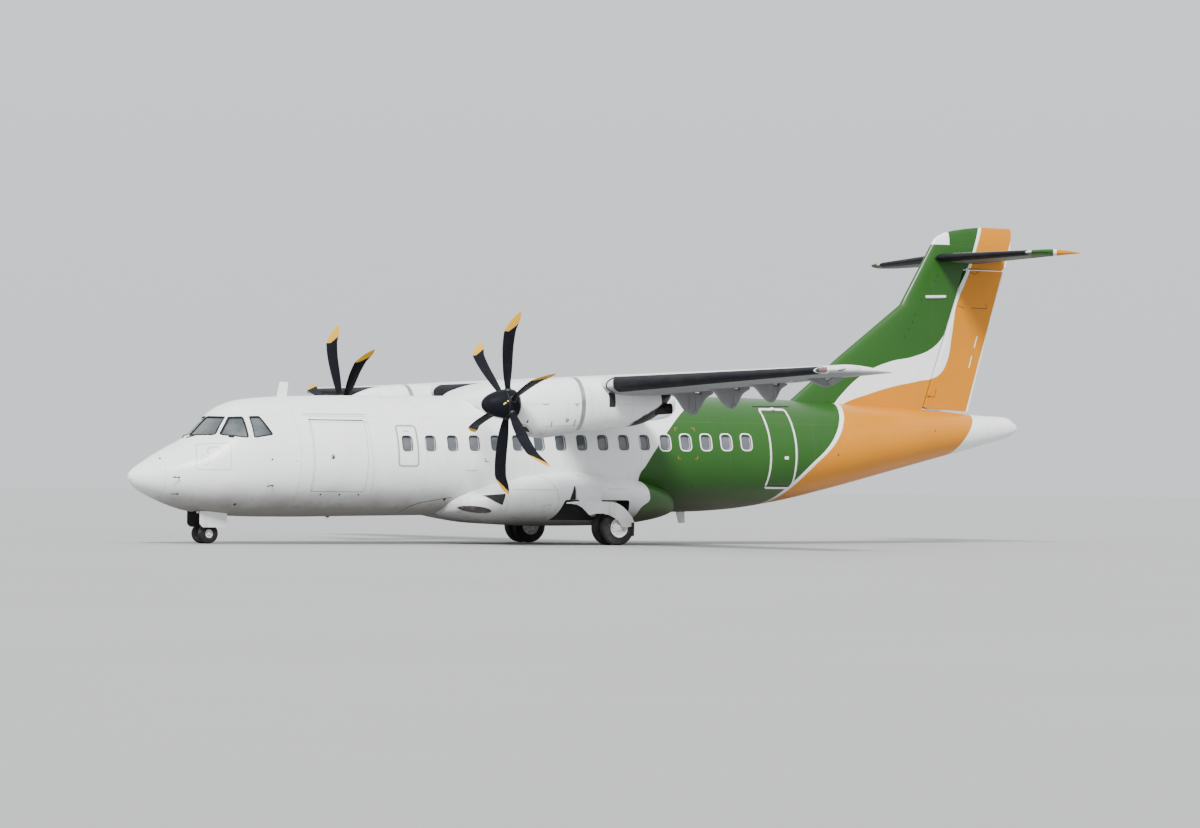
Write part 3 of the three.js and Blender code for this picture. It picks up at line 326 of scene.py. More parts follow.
def turned(name, profile, start, along, count=40):
    """A profile of (distance, radius) turned about a line: start + d along + r (cos a u + sin a v).
    A profile that begins and ends on the line gives a closed piece."""
    along = np.asarray(along, float) / np.linalg.norm(along)
    helper = np.array([0, 0, 1.0]) if abs(along[2]) < 0.9 else np.array([1.0, 0, 0])
    u = np.cross(helper, along)
    u /= np.linalg.norm(u)
    v = np.cross(along, u)
    d, r = np.asarray(profile, float).T
    a = np.linspace(0, 2 * np.pi, count, endpoint=False)
    around = np.cos(a)[:, None] * u + np.sin(a)[:, None] * v
    rings = np.asarray(start, float) + d[:, None, None] * along + r[:, None, None] * around
    if r[0] == 0 and r[-1] == 0:
        return loft(name, rings[1:-1], first=rings[0, 0], last=rings[-1, 0])
    return loft(name, rings)


def rod(name, a, b, radius, end_radius=None, edge=0.006, count=32):
    """A round bar from a to b with softened ends, tapering where an end radius is given."""
    a, b = np.asarray(a, float), np.asarray(b, float)
    length = np.linalg.norm(b - a)
    last = radius if end_radius is None else end_radius
    edge = min(edge, radius / 3, last / 3, length / 3)
    profile = [(0, 0), (0, radius - edge), (edge * 0.3, radius - edge * 0.3), (edge, radius),
               (length - edge, last), (length - edge * 0.3, last - edge * 0.3), (length, last - edge),
               (length, 0)]
    return turned(name, profile, a, b - a, count)


def block(name, low, high, edge=0.01):
    """A box with rounded upright edges along x and z."""
    outline = rounded(rectangle(low[0], high[0], low[2], high[2]), edge, 4)
    return slab(name, outline, low[1], high[1])


# %% [markdown]
# ## Things laid on a skin
#
# Window frames, painted outlines, lamps and hatches follow the surface that they lie on. Each is
# drawn flat first, as an outline in station and height, and is then carried onto the skin by a
# function that gives the skin's point for each flat one, lifted off it by a few millimetres.

# %% Strips and plates on a surface
EVEN_STEP = 0.03  # between the points of a line that is laid on a skin
SUNK = 0.012  # how far the back of a strip or plate lies under the skin


def moved_out(outline, distance):
    """Moves each point of an anticlockwise outline outwards: its tangent is the line between its two
    neighbours, and the outward direction is the tangent turned a quarter clockwise."""
    ahead = np.roll(outline, -1, 0) - np.roll(outline, 1, 0)
    normal = np.stack([ahead[:, 1], -ahead[:, 0]], -1)
    normal /= np.linalg.norm(normal, axis=1, keepdims=True)
    return outline + distance * normal


def evened(outline, closed=True):
    """The same line with more points along its straight parts, so that it can bend with a skin."""
    line = np.vstack([outline, outline[:1]]) if closed else np.asarray(outline, float)
    along = np.append(0, np.cumsum(np.linalg.norm(np.diff(line, axis=0), axis=1)))
    places = np.unique(np.round(np.concatenate([along, np.arange(0, along[-1], EVEN_STEP)]), 4))
    places = places[:-1] if closed else places
    return np.column_stack([np.interp(places, along, column) for column in line.T])


def hoop_on(name, outline, section, surface):
    """A hoop that follows a closed outline on a surface; its section is (distance outwards, height)."""
    outline = evened(anticlockwise(outline))
    rails = np.stack([surface(moved_out(outline, out), height) for out, height in section])
    return loop_of(name, rails.transpose(1, 0, 2))


def strip(name, outline, width, surface, lift=0.003, crown=0.0):
    """A flat band along a closed outline on a surface, raised in its middle by crown."""
    half = width / 2
    section = [(-half, -SUNK), (-half, lift), (0, lift + crown), (half, lift), (half, -SUNK)]
    return hoop_on(name, outline, section, surface)


def trace(name, path, width, surface, lift=0.003):
    """A flat band along an open path on a surface, square at both ends."""
    path = evened(path, closed=False)
    ahead = np.gradient(path, axis=0)
    normal = np.stack([ahead[:, 1], -ahead[:, 0]], -1) / np.linalg.norm(ahead, axis=1, keepdims=True)
    section = [(-0.5, -SUNK), (-0.5, lift), (0.5, lift), (0.5, -SUNK)]
    rails = [surface(path + part * width * normal, height) for part, height in section]
    return loft(name, np.stack(rails, 1))


def under(name, outline, surface, low, high):
    """What lies under an outline, between two heights over a surface."""
    outline = evened(anticlockwise(outline))
    return loft(name, [surface(outline, low), surface(outline, high)])


def plate(name, outline, surface, lift=0.002, depth=SUNK, dome=0.0):
    """A filled outline on a surface: rings shrink towards its middle in front, and again behind."""
    outline = evened(anticlockwise(outline))
    middle = outline.mean(0)
    shares = [0.3, 0.6, 0.85, 1.0]
    front = [surface(middle + s * (outline - middle), lift + dome * (1 - s * s)) for s in shares]
    back = [surface(middle + s * (outline - middle), -depth) for s in shares[::-1]]
    tips = [surface(middle[None], lift + dome)[0], surface(middle[None], -depth)[0]]
    return loft(name, np.stack(front + back), first=tips[0], last=tips[1])


# %% [markdown]
# ## Materials
#
# Paint on an aircraft isn't one flat colour. Rain draws streaks down it, dust greys its underside,
# panels meet in fine dark lines, and a large panel never reflects quite evenly. Low down on the
# fuselage and its fairings the paint is also darkened, as painted shade. These effects are shared, so
# each is a group of nodes that is built once and used with its own values in each material. The
# nodes read Object coordinates: all objects lie at the origin, so these are metres in the aircraft's
# frame, and a pattern runs on from one piece to the next.

# %% A short way to write node trees
class Wiring:
    """Adds nodes to one tree. Each input takes a plain value or another node's output."""

    def __init__(self, tree):
        self.tree = tree

    def node(self, kind, inputs=(), **settings):
        made = self.tree.nodes.new("ShaderNode" + kind)
        for key, value in settings.items():
            setattr(made, key, value)
        for key, value in dict(inputs).items():
            self.feed(made.inputs[key], value)
        return made

    def feed(self, socket, value):
        if isinstance(value, bpy.types.NodeSocket):
            self.tree.links.new(value, socket)
        else:
            socket.default_value = value

    def math(self, how, a, b=0.0, c=0.0):
        return self.node("Math", {0: a, 1: b, 2: c}, operation=how).outputs[0]

    def plus(self, a, b):
        return self.math("ADD", a, b)

    def minus(self, a, b):
        return self.math("SUBTRACT", a, b)

    def times(self, a, b):
        return self.math("MULTIPLY", a, b)

    def times_plus(self, a, b, c):
        return self.math("MULTIPLY_ADD", a, b, c)

    def mix(self, share, a, b, how="MIX"):
        made = self.node("Mix", {0: share, 6: a, 7: b}, data_type="RGBA", blend_type=how)
        return made.outputs[2]

    def ramp(self, value, low, high, start=0.0, end=1.0):
        inputs = {0: value, 1: low, 2: high, 3: start, 4: end}
        return self.node("MapRange", inputs, interpolation_type="SMOOTHSTEP").outputs[0]

    def noise(self, vector, scale, detail=4.0, rough=0.55):
        inputs = {"Vector": vector, "Scale": scale, "Detail": detail, "Roughness": rough}
        return self.node("TexNoise", inputs).outputs[0]

    def stretched(self, vector, x, y, z):
        return self.node("VectorMath", {0: vector, 1: (x, y, z)}, operation="MULTIPLY").outputs[0]

    def split(self, vector):
        return self.node("SeparateXYZ", {0: vector}).outputs

    def most(self, *values):
        most = values[0]
        for value in values[1:]:
            most = self.math("MAXIMUM", most, value)
        return most

    def between(self, value, low, high):
        """One where the value lies between low and high, nought elsewhere."""
        soft = 0.002
        return self.times(self.ramp(value, low - soft, low + soft),
                          self.ramp(value, high + soft, high - soft))

    def bump(self, shader, strength, distance, height):
        """Raises and sinks a material's surface by up to the distance, as the height says."""
        made = self.node("Bump", {"Strength": strength, "Distance": distance, "Height": height})
        self.feed(shader["Normal"], made.outputs[0])

    def use(self, group, inputs=()):
        made = self.tree.nodes.new("ShaderNodeGroup")
        made.node_tree = group
        for key, value in dict(inputs).items():
            self.feed(made.inputs[key], value)
        return made.outputs


# %% New groups and materials
def new_group(name, inputs, outputs):
    """An empty node group; inputs and outputs map a socket's name to its kind."""
    group = bpy.data.node_groups.new(name, "ShaderNodeTree")
    for way, sockets in (("INPUT", inputs), ("OUTPUT", outputs)):
        for label, kind in sockets.items():
            group.interface.new_socket(label, in_out=way, socket_type="NodeSocket" + kind)
    start, end = group.nodes.new("NodeGroupInput"), group.nodes.new("NodeGroupOutput")
    return group, Wiring(group), start.outputs, end.inputs


def new_material(name, **values):
    """A material with one Principled shader, whose plain values are set on its own sockets."""
    material = bpy.data.materials.new(name)
    material.use_nodes = True
    shader = material.node_tree.nodes["Principled BSDF"]
    for key, value in values.items():
        shader.inputs[key.replace("_", " ").title().replace("Ior", "IOR")].default_value = value
    wiring = Wiring(material.node_tree)
    place = wiring.node("TexCoord").outputs["Object"]
    return material, wiring, shader.inputs, place


# %% Weather: streaks, dust and uneven gloss, and where grime and painted shade go
def weather_group():
    """Streaks are noise squeezed sideways, so that it runs down; patches are a broad cloudy noise, and
    specks a fine one. Low marks where grime and painted shade go: it is one under the first height and
    nought over the second."""
    group, w, given, out = new_group(
        "weather", {"Place": "Vector", "Dirty below": "Float", "Clean above": "Float"},
        {"Streaks": "Float", "Patches": "Float", "Specks": "Float", "Low": "Float"})
    place = given["Place"]
    w.feed(out["Streaks"], w.ramp(w.noise(w.stretched(place, 5, 5, 0.5), 1.0, 5.0), 0.5, 0.74))
    w.feed(out["Patches"], w.ramp(w.noise(place, 0.7, 4.0), 0.35, 0.68))
    w.feed(out["Specks"], w.ramp(w.noise(place, 24.0, 2.0), 0.6, 0.76))
    wavy = w.times_plus(w.noise(place, 1.3, 4.0), 0.3, w.minus(w.split(place)[2], 0.15))
    low = w.node("MapRange", {0: wavy, 1: given["Dirty below"], 2: given["Clean above"], 3: 1.0, 4: 0.0},
                 interpolation_type="SMOOTHSTEP").outputs[0]
    w.feed(out["Low"], low)
    return group


WEATHER = weather_group()
print("built the weather group")

# %% [markdown]
# ## Paint
#
# The aircraft is white ahead, green amidships and orange aft. On the real one the colours meet along
# curves that were laid out with tape: they are functions of the height. A float curve node holds such
# a function, and comparing it with the station tells which side of the tape a point is on. The tail
# carries a plain white ribbon between the green and the orange, which runs up into the white line
# ahead of the rudder.

# %% A curve as a node
def node_curve(w, value, points):
    """The result of a smooth curve through points (value, result), as a float curve node: the points
    are scaled to the node's square from 0 to 1 and its answer is scaled back."""
    points = np.asarray(points, float)
    low, high = points.min(0), points.max(0)
    scaled = (points - low) / (high - low)
    made = w.node("FloatCurve")
    line = made.mapping.curves[0]
    line.points[0].location = scaled[0]
    line.points[1].location = scaled[-1]
    for x, y in scaled[1:-1]:
        line.points.new(x, y)
    for point in line.points:
        point.handle_type = "AUTO_CLAMPED"
    made.mapping.update()
    share = w.node("MapRange", {0: value, 1: low[0], 2: high[0], 3: 0.0, 4: 1.0}).outputs[0]
    w.feed(made.inputs["Value"], share)
    return w.times_plus(made.outputs[0], high[1] - low[1], low[1])


def paint_group(name, colour_at):
    """A group that gives each place its colour, which colour_at wires from the place's x, y and z."""
    group, w, given, out = new_group(name, {"Place": "Vector"}, {"Colour": "Color"})
    w.feed(out["Colour"], colour_at(w, *w.split(given["Place"]), given["Place"]))
    return group


# %% White, green and orange on the fuselage
WHITE = (0.86, 0.87, 0.87, 1)
GREEN = (0.018, 0.084, 0.009, 1)
ORANGE = (0.58, 0.205, 0.0, 1)
# Brown-black of grime; low on the fuselage and its fairings it also stands for painted shade
GRIME_AND_SHADE = (0.11, 0.095, 0.075, 1)
# Height and station of the two colour joints, from the belly to the crown
GREEN_EDGE = [(0.40, 11.22), (0.79, 11.31), (1.05, 11.58), (1.49, 11.58), (1.77, 11.73), (2.21, 12.06),
              (2.77, 12.63), (3.07, 13.07), (3.40, 13.60)]
ORANGE_EDGE = [(0.80, 15.30), (0.95, 15.49), (1.28, 15.76), (1.77, 16.20), (2.23, 16.74), (2.55, 17.02),
               (2.87, 17.24), (3.14, 17.42), (3.30, 17.58)]
STRIPE = 0.13
TAIL_LEVEL = 6.74  # height of the tailplane's middle plane
BREAK = 4.75  # distance from the middle at which the wing begins to taper


def livery(w, x, y, z, place):
    """White, then green past the first edge, orange past the second, with a white stripe ahead of it."""
    station = w.minus(x, NOSE)
    past_green = w.minus(station, node_curve(w, z, GREEN_EDGE))
    past_orange = w.minus(station, node_curve(w, z, ORANGE_EDGE))
    colour = w.mix(w.ramp(past_green, -0.003, 0.003), WHITE, GREEN)
    colour = w.mix(w.ramp(past_orange, -STRIPE - 0.003, -STRIPE + 0.003), colour, WHITE)
    return w.mix(w.ramp(past_orange, -0.003, 0.003), colour, ORANGE)


LIVERY = paint_group("livery", livery)
print("white to green at station", GREEN_EDGE[4][1], "and green to orange at", ORANGE_EDGE[3][1])

# %% The fin's ribbon and the tailplane's bands
# Station and height of the ribbon's upper and lower edges, from its foot to the fin's cap
RIBBON_TOP = [(17.30, 3.05), (17.60, 3.42), (18.30, 3.98), (19.00, 4.26), (19.68, 4.40), (20.20, 4.61),
              (20.52, 4.92), (20.72, 5.38), (20.87, 5.83), (21.21, 6.53), (21.40, 7.07), (21.58, 7.60)]
RIBBON_FOOT = [(17.30, 3.02), (17.74, 3.27), (18.40, 3.49), (19.13, 3.69), (19.80, 3.82), (20.38, 3.97),
               (20.62, 4.28), (20.77, 4.99), (20.87, 5.57), (20.97, 5.83), (21.30, 6.53), (21.49, 7.07),
               (21.67, 7.60)]


def fin_livery(w, x, y, z, place):
    """Green above the ribbon, white in it and orange below, with a white patch at the front of the cap.
    The trailing edge runs up at station 20.314 + 0.309 height, and its last centimetres are white."""
    station = w.minus(x, NOSE)
    over_top = w.minus(z, node_curve(w, station, RIBBON_TOP))
    over_foot = w.minus(z, node_curve(w, station, RIBBON_FOOT))
    colour = w.mix(w.ramp(over_foot, -0.006, 0.006), ORANGE, WHITE)
    colour = w.mix(w.ramp(over_top, -0.006, 0.006), colour, GREEN)
    patch = w.times(w.between(z, 7.06, 7.36), w.ramp(station, 20.68, 20.67))
    edge = w.minus(station, w.times_plus(z, 0.309, 20.314))
    return w.mix(w.most(patch, w.ramp(edge, -0.050, -0.044)), colour, WHITE)


def tail_bands(w, x, y, z, place):
    """The tailplane is pale grey above, dark grey below as painted shade, and green at its root; towards
    its tips come a green band, a white one and an orange end, which lie askew: they part where the
    station plus 0.72 times the distance to the side is constant."""
    askew = w.times_plus(w.math("ABSOLUTE", y), 0.72, w.minus(x, NOSE))
    above = w.ramp(z, TAIL_LEVEL - 0.02, TAIL_LEVEL + 0.01)
    colour = w.mix(above, (0.10, 0.11, 0.10, 1), (0.60, 0.61, 0.61, 1))
    colour = w.mix(w.ramp(w.math("ABSOLUTE", y), 0.42, 0.40), colour, GREEN)
    for start, band in ((23.14, GREEN), (23.76, WHITE), (23.85, ORANGE)):
        colour = w.mix(w.ramp(askew, start - 0.005, start + 0.005), colour, band)
    return colour


print("the ribbon has", len(RIBBON_TOP), "points above and", len(RIBBON_FOOT), "below")


# %% Soot on the nacelle, and the wing's grey with painted shade below
def soot(w, x, y, z, place):
    """White, but black along the nacelle's rear keel, where the exhaust blows: the soot reaches up to a
    line of height 2.66 + 0.55 (station - 9.72), and a cloudy noise frays its edge. The rear end is
    black all round."""
    line = w.times_plus(x, 0.55, 2.66 - 0.55 * (NOSE + 9.72))
    frayed = w.times_plus(w.noise(place, 9.0, 4.0), 0.10, -0.05)
    over = w.plus(w.minus(z, line), frayed)
    ahead = w.ramp(x, NOSE + 9.60, NOSE + 9.78)
    end = w.times(w.ramp(x, NOSE + 10.36, NOSE + 10.40), w.ramp(z, 3.30, 3.26))
    black = w.most(w.times(w.ramp(over, 0.045, -0.005), ahead), end)
    return w.mix(black, WHITE, (0.014, 0.013, 0.012, 1))


def wing_grey_and_shade(w, x, y, z, place):
    """Pale grey above, and below the plane through the leading edge a darker grey that is painted
    shade; the plane lies at height 3.40 and rises by 0.0239 a metre outboard of the nacelles."""
    outboard = w.math("MAXIMUM", w.minus(w.math("ABSOLUTE", y), BREAK), 0.0)
    over = w.minus(z, w.times_plus(outboard, 0.0239, 3.40))
    return w.mix(w.ramp(over, -0.06, 0.02), (0.25, 0.26, 0.265, 1), (0.72, 0.73, 0.73, 1))


# %% Painted skins
def painted(name, base, grime_and_shade_heights=(0.5, 1.5), grime_and_shade=0.5, streaks=0.12, seams=(), rough=0.30, coat=0.06, ior=1.36):
    """Paint over a base colour, or over a group's. Dirt lies in streaks and in specks, and where the skin
    is low, grime and painted shade darken it together; seams are (axis, place) pairs of fine dark
    joints, axis 0 being the station."""
    material, w, shader, place = new_material(name, coat_weight=coat, coat_roughness=0.15, ior=ior)
    weather = w.use(WEATHER, {"Place": place, "Dirty below": grime_and_shade_heights[0], "Clean above": grime_and_shade_heights[1]})
    if isinstance(base, bpy.types.NodeTree):
        base = w.use(base, {"Place": place})["Colour"]
    shade = w.times(weather["Patches"], 0.10)
    colour = w.mix(shade, base, (0.42, 0.43, 0.43, 1), "MULTIPLY")
    dirt = w.plus(w.times(weather["Low"], grime_and_shade), w.times(weather["Streaks"], streaks))
    dirt = w.plus(dirt, w.times(weather["Specks"], 0.05))
    colour = w.mix(w.math("MINIMUM", dirt, 0.85), colour, GRIME_AND_SHADE)
    axes = w.split(place)
    lines = [w.math("COMPARE", axes[axis], at + (NOSE if axis == 0 else 0), 0.005) for axis, at in seams]
    if lines:
        line = w.most(*lines)
        colour = w.mix(w.times(line, 0.26), colour, (0.10, 0.10, 0.10, 1))
    w.feed(shader["Base Color"], colour)
    uneven = w.times(weather["Patches"], 0.08)
    w.feed(shader["Roughness"], w.plus(w.ramp(dirt, 0.0, 0.5, rough, 0.62), uneven))
    ripple = w.plus(w.noise(place, 2.2, 2.0), w.times(w.noise(place, 60.0, 2.0), 0.02))
    w.bump(shader, 0.12, 0.02, ripple)
    return material


SEAMS = [(0, at) for at in (0.60, 3.35, 6.30, 8.95, 11.60, 13.90, 16.20, 19.30)] + [(2, 2.74)]
# Low on the fuselage the strong darkening is painted shade under the belly, with grime
fuselage_paint = painted("fuselage paint", LIVERY, grime_and_shade_heights=(0.66, 1.40), grime_and_shade=0.88, streaks=0.06, seams=SEAMS)
fin_paint = painted("fin paint", paint_group("fin livery", fin_livery), grime_and_shade_heights=(2.0, 2.6), grime_and_shade=0.1,
                    streaks=0.06, seams=[(2, 7.04)])
white_paint = painted("white paint", WHITE, grime_and_shade_heights=(0.3, 0.9), grime_and_shade=0.35, streaks=0.10)
# Low on the gear fairing the darkening is painted shade too, with grime
fairing_paint = painted("fairing paint", LIVERY, grime_and_shade_heights=(0.42, 1.20), grime_and_shade=0.80, streaks=0.14,
                        seams=[(0, 11.62)])
wing_paint = painted("wing paint", paint_group("wing greys", wing_grey_and_shade), grime_and_shade_heights=(2.4, 2.9), grime_and_shade=0.2,
                     streaks=0.25, seams=[(0, 9.35), (0, 10.30), (1, -6.2), (1, -8.65), (1, 6.2), (1, 8.65)],
                     rough=0.6, coat=0.0, ior=1.2)
# Darker than the wing's grey: painted shade on the flap fairings and track noses under the wing
fairing_grey_and_shade = painted("grey fairing paint", (0.20, 0.205, 0.21, 1), grime_and_shade_heights=(2.4, 2.9), grime_and_shade=0.2, streaks=0.5,
                       rough=0.55, coat=0.0, ior=1.25)
tail_paint = painted("tailplane paint", paint_group("tailplane bands", tail_bands), grime_and_shade_heights=(5.0, 6.0),
                     grime_and_shade=0.1, streaks=0.15, seams=[(0, 21.0)], rough=0.5, coat=0.0, ior=1.25)
nacelle_paint = painted("nacelle paint", paint_group("soot", soot), grime_and_shade_heights=(2.32, 2.62), grime_and_shade=0.45,
                        streaks=0.14, seams=[(0, 7.62), (0, 8.28), (0, 9.02), (0, 9.62), (2, 3.02)])
gear_door_paint = painted("gear door paint", WHITE, grime_and_shade_heights=(0.4, 1.1), grime_and_shade=0.6, streaks=0.2)
print(len(bpy.data.materials), "materials so far")


# %% Glass and rubber
def glass_pane(name, colour, rough=0.04):
    """Tinted window glass: dark, smooth and slightly uneven, with a film of dust in cloudy patches."""
    material, w, shader, place = new_material(name, ior=1.5, coat_weight=0.4)
    dust = w.times(w.ramp(w.noise(place, 2.5, 5.0), 0.42, 0.75), 0.18)
    w.feed(shader["Base Color"], w.mix(dust, colour, (0.35, 0.36, 0.36, 1)))
    w.feed(shader["Roughness"], w.plus(dust, rough))
    return material


def rubber(name, colour, rough=0.7, worn=0.25):
    """Black rubber with greyer scuffs, a fine grain and dust in broad patches."""
    material, w, shader, place = new_material(name, ior=1.16)
    scuff = w.ramp(w.noise(place, 9.0, 6.0, 0.65), 0.5, 0.72)
    dust = w.ramp(w.noise(place, 1.7, 3.0), 0.4, 0.7)
    share = w.times(w.math("MAXIMUM", scuff, dust), worn)
    w.feed(shader["Base Color"], w.mix(share, colour, (0.11, 0.10, 0.09, 1)))
    w.feed(shader["Roughness"], w.times_plus(share, 0.3, rough))
    w.bump(shader, 0.25, 0.003, w.noise(place, 160.0, 3.0))
    return material


cabin_glass = glass_pane("cabin glass", (0.085, 0.095, 0.108, 1))
flight_deck_glass = glass_pane("flight deck glass", (0.050, 0.060, 0.066, 1))
lamp_glass = glass_pane("lamp glass", (0.016, 0.009, 0.007, 1), 0.2)
red_glass = glass_pane("red lamp", (0.45, 0.02, 0.01, 1))
green_glass = glass_pane("green lamp", (0.01, 0.25, 0.05, 1))
boot_rubber = rubber("boot rubber", (0.008, 0.009, 0.012, 1), rough=0.55, worn=0.08)
tyre_rubber = rubber("tyre rubber", (0.018, 0.018, 0.018, 1), rough=0.8, worn=0.45)
seal_rubber = rubber("seal rubber", (0.014, 0.014, 0.015, 1), rough=0.6, worn=0.1)
print(len(bpy.data.materials), "materials with glass and rubber")


# %% Bare metal and enamel
def bare_metal(name, colour, rough, soot=0.0):
    """Brushed metal: noise drawn out along one way gives the brushing, and soot darkens it in clouds."""
    material, w, shader, place = new_material(name, metallic=1.0)
    brushing = w.noise(w.stretched(place, 12, 12, 90), 1.0, 3.0)
    stain = w.times(w.ramp(w.noise(place, 3.0, 5.0), 0.3, 0.65), soot)
    base = w.mix(w.times(brushing, 0.25), colour, (0.25, 0.25, 0.25, 1), "MULTIPLY")
    w.feed(shader["Base Color"], w.mix(stain, base, (0.02, 0.018, 0.016, 1)))
    grain = w.ramp(brushing, 0.2, 0.8, rough * 0.8, rough * 1.25)
    w.feed(shader["Roughness"], w.plus(grain, w.times(stain, 0.3)))
    w.bump(shader, 0.1, 0.002, brushing)
    return material


def enamel(name, colour, rough=0.4, worn=0.2):
    """Plain painted metal that has chipped and darkened a little in spots and along its length."""
    material, w, shader, place = new_material(name)
    dirt = w.ramp(w.noise(place, 6.0, 6.0, 0.6), 0.48, 0.75)
    share = w.times(dirt, worn)
    w.feed(shader["Base Color"], w.mix(share, colour, (0.10, 0.085, 0.07, 1)))
    w.feed(shader["Roughness"], w.times_plus(share, 0.5, rough))
    w.bump(shader, 0.08, 0.003, w.noise(place, 40.0, 3.0))
    return material


bare_metal_light = bare_metal("band metal", (0.55, 0.55, 0.54, 1), 0.38, soot=0.15)
steel = bare_metal("brushed steel", (0.42, 0.42, 0.41, 1), 0.35, soot=0.25)
spinner_metal = bare_metal("collar metal", (0.10, 0.10, 0.10, 1), 0.5, soot=0.5)
chrome = bare_metal("chrome", (0.80, 0.80, 0.80, 1), 0.10)
sooty_steel = bare_metal("sooty steel", (0.06, 0.055, 0.05, 1), 0.6, soot=0.95)
gear_enamel = enamel("gear enamel", (0.60, 0.61, 0.61, 1), 0.35, worn=0.45)
rim_enamel = enamel("rim enamel", (0.66, 0.67, 0.66, 1), 0.42, worn=0.25)
frame_enamel = enamel("frame enamel", (0.66, 0.67, 0.67, 1), 0.35, worn=0.25)
grey_line = enamel("grey line", (0.33, 0.34, 0.35, 1), 0.4, worn=0.2)
white_line = enamel("white line", (0.78, 0.79, 0.78, 1), 0.35, worn=0.12)
pale_line = enamel("pale line", (0.50, 0.51, 0.52, 1), 0.4, worn=0.15)
# Near-black for black marks, and as painted shade in holes, vents, intakes, wells and gaps
black_marks_and_shade = enamel("dark cavity", (0.012, 0.012, 0.013, 1), 0.8, worn=0.3)
lining = enamel("lining", (0.30, 0.31, 0.31, 1), 0.6, worn=0.2)
seat_trim = enamel("seat trim", (0.07, 0.08, 0.10, 1), 0.85, worn=0.15)
yellow_mark = enamel("yellow mark", (0.75, 0.62, 0.12, 1), 0.4, worn=0.15)
rescue_mark = enamel("rescue mark", (0.26, 0.12, 0.03, 1), 0.5, worn=0.3)
print(len(bpy.data.materials), "materials with metal and enamel")

# %% Paint of the blades and spinners
# The propellers: station of the blades, distance of a shaft from the middle, its height at the blades
PLANE, ENGINE_Y, SHAFT_HEIGHT = 6.853, 4.05, 3.0
BLACK_PAINT, TIP_PAINT = (0.007, 0.008, 0.011, 1), (0.62, 0.34, 0.03, 1)
NO_TIPS = 9.0  # further out than any blade


def worn_tips(name, start, rough):
    """Black paint whose outer end is yellow, left only along the front edge and at the very tip. The
    distance out from the shaft comes from the Object coordinates, which turn with the propeller; the
    yellow stays where the distance behind the blades' plane is under 1.26 out - 2.099."""
    material, w, shader, place = new_material(name, ior=1.14)
    x, y, z = w.split(place)
    out = w.minus(w.math("ABSOLUTE", y), ENGINE_Y)
    high = w.minus(z, SHAFT_HEIGHT)
    reach = w.math("SQRT", w.times_plus(out, out, w.times(high, high)))
    edge = w.times_plus(reach, 1.26, NOSE + PLANE - 2.099)
    ragged = w.times_plus(w.noise(place, 22.0, 4.0), 0.04, w.minus(edge, x))
    left = w.math("MAXIMUM", w.ramp(ragged, 0.02, 0.028), w.ramp(reach, 1.925, 1.935))
    share = w.times(w.ramp(reach, start, start + 0.01), left)
    dust = w.times(w.ramp(w.noise(place, 5.0, 5.0), 0.45, 0.75), 0.08)
    base = w.mix(dust, BLACK_PAINT, (0.06, 0.058, 0.055, 1))
    w.feed(shader["Base Color"], w.mix(share, base, TIP_PAINT))
    w.feed(shader["Roughness"], w.plus(dust, rough))
    w.bump(shader, 0.1, 0.002, w.noise(place, 50.0, 3.0))
    return material


blade_paint = worn_tips("blade paint", 1.54, 0.55)
spinner_paint = worn_tips("spinner paint", NO_TIPS, 0.50)
print(len(bpy.data.materials), "materials in all")

# %% [markdown]
# ## The fuselage
#
# The barrel is a round tube, tapered at both ends. A section is half an ellipse above its widest line
# and half an ellipse below it, so four measured heights and widths describe it everywhere. It is made
# as grids of such sections, one grid for each of the real barrel's sections, and rooms and doorways
# are cut out of them. Cutting beats drawing around the openings by hand, because a door leaf can be
# kept from the same shell and then fits its hole exactly.

# %% The fuselage's sections
# Station, top, bottom, half width, height of the widest line
FUSELAGE = np.array([
    (0.03, 1.500, 1.320, 0.100, 1.410),
    (0.10, 1.570, 1.220, 0.215, 1.400),
    (0.25, 1.670, 1.110, 0.370, 1.400),
    (0.55, 1.860, 0.960, 0.590, 1.420),
    (0.95, 2.080, 0.800, 0.810, 1.460),
    (1.30, 2.260, 0.700, 0.960, 1.500),
    (1.72, 2.660, 0.635, 1.110, 1.560),
    (2.05, 2.920, 0.605, 1.205, 1.610),
    (2.45, 3.060, 0.585, 1.295, 1.660),
    (3.00, 3.130, 0.575, 1.375, 1.700),
    (3.70, 3.170, 0.575, 1.425, 1.735),
    (4.40, 3.195, 0.585, 1.432, 1.765),
    (7.00, 3.235, 0.625, 1.432, 1.805),
    (10.5, 3.290, 0.680, 1.432, 1.860),
    (13.6, 3.338, 0.728, 1.432, 1.908),
    (14.6, 3.345, 0.790, 1.415, 1.930),
    (15.8, 3.325, 0.960, 1.350, 2.000),
    (17.2, 3.275, 1.255, 1.190, 2.160),
    (18.8, 3.210, 1.640, 0.935, 2.370),
    (20.4, 3.130, 2.030, 0.635, 2.580),
    (21.6, 3.040, 2.312, 0.400, 2.695),
    (22.3, 3.012, 2.500, 0.262, 2.755),
    (22.5, 2.958, 2.560, 0.212, 2.755),
    (22.6, 2.870, 2.645, 0.130, 2.752),
])
hull_top, hull_bottom, hull_half, hull_level = (curve_through(FUSELAGE, k) for k in (1, 2, 3, 4))
WALL = 0.07
HULL_POINTS = 96  # round each section
TAIL_ROUND = (FUSELAGE[-1, 0], LENGTH - FUSELAGE[-1, 0])


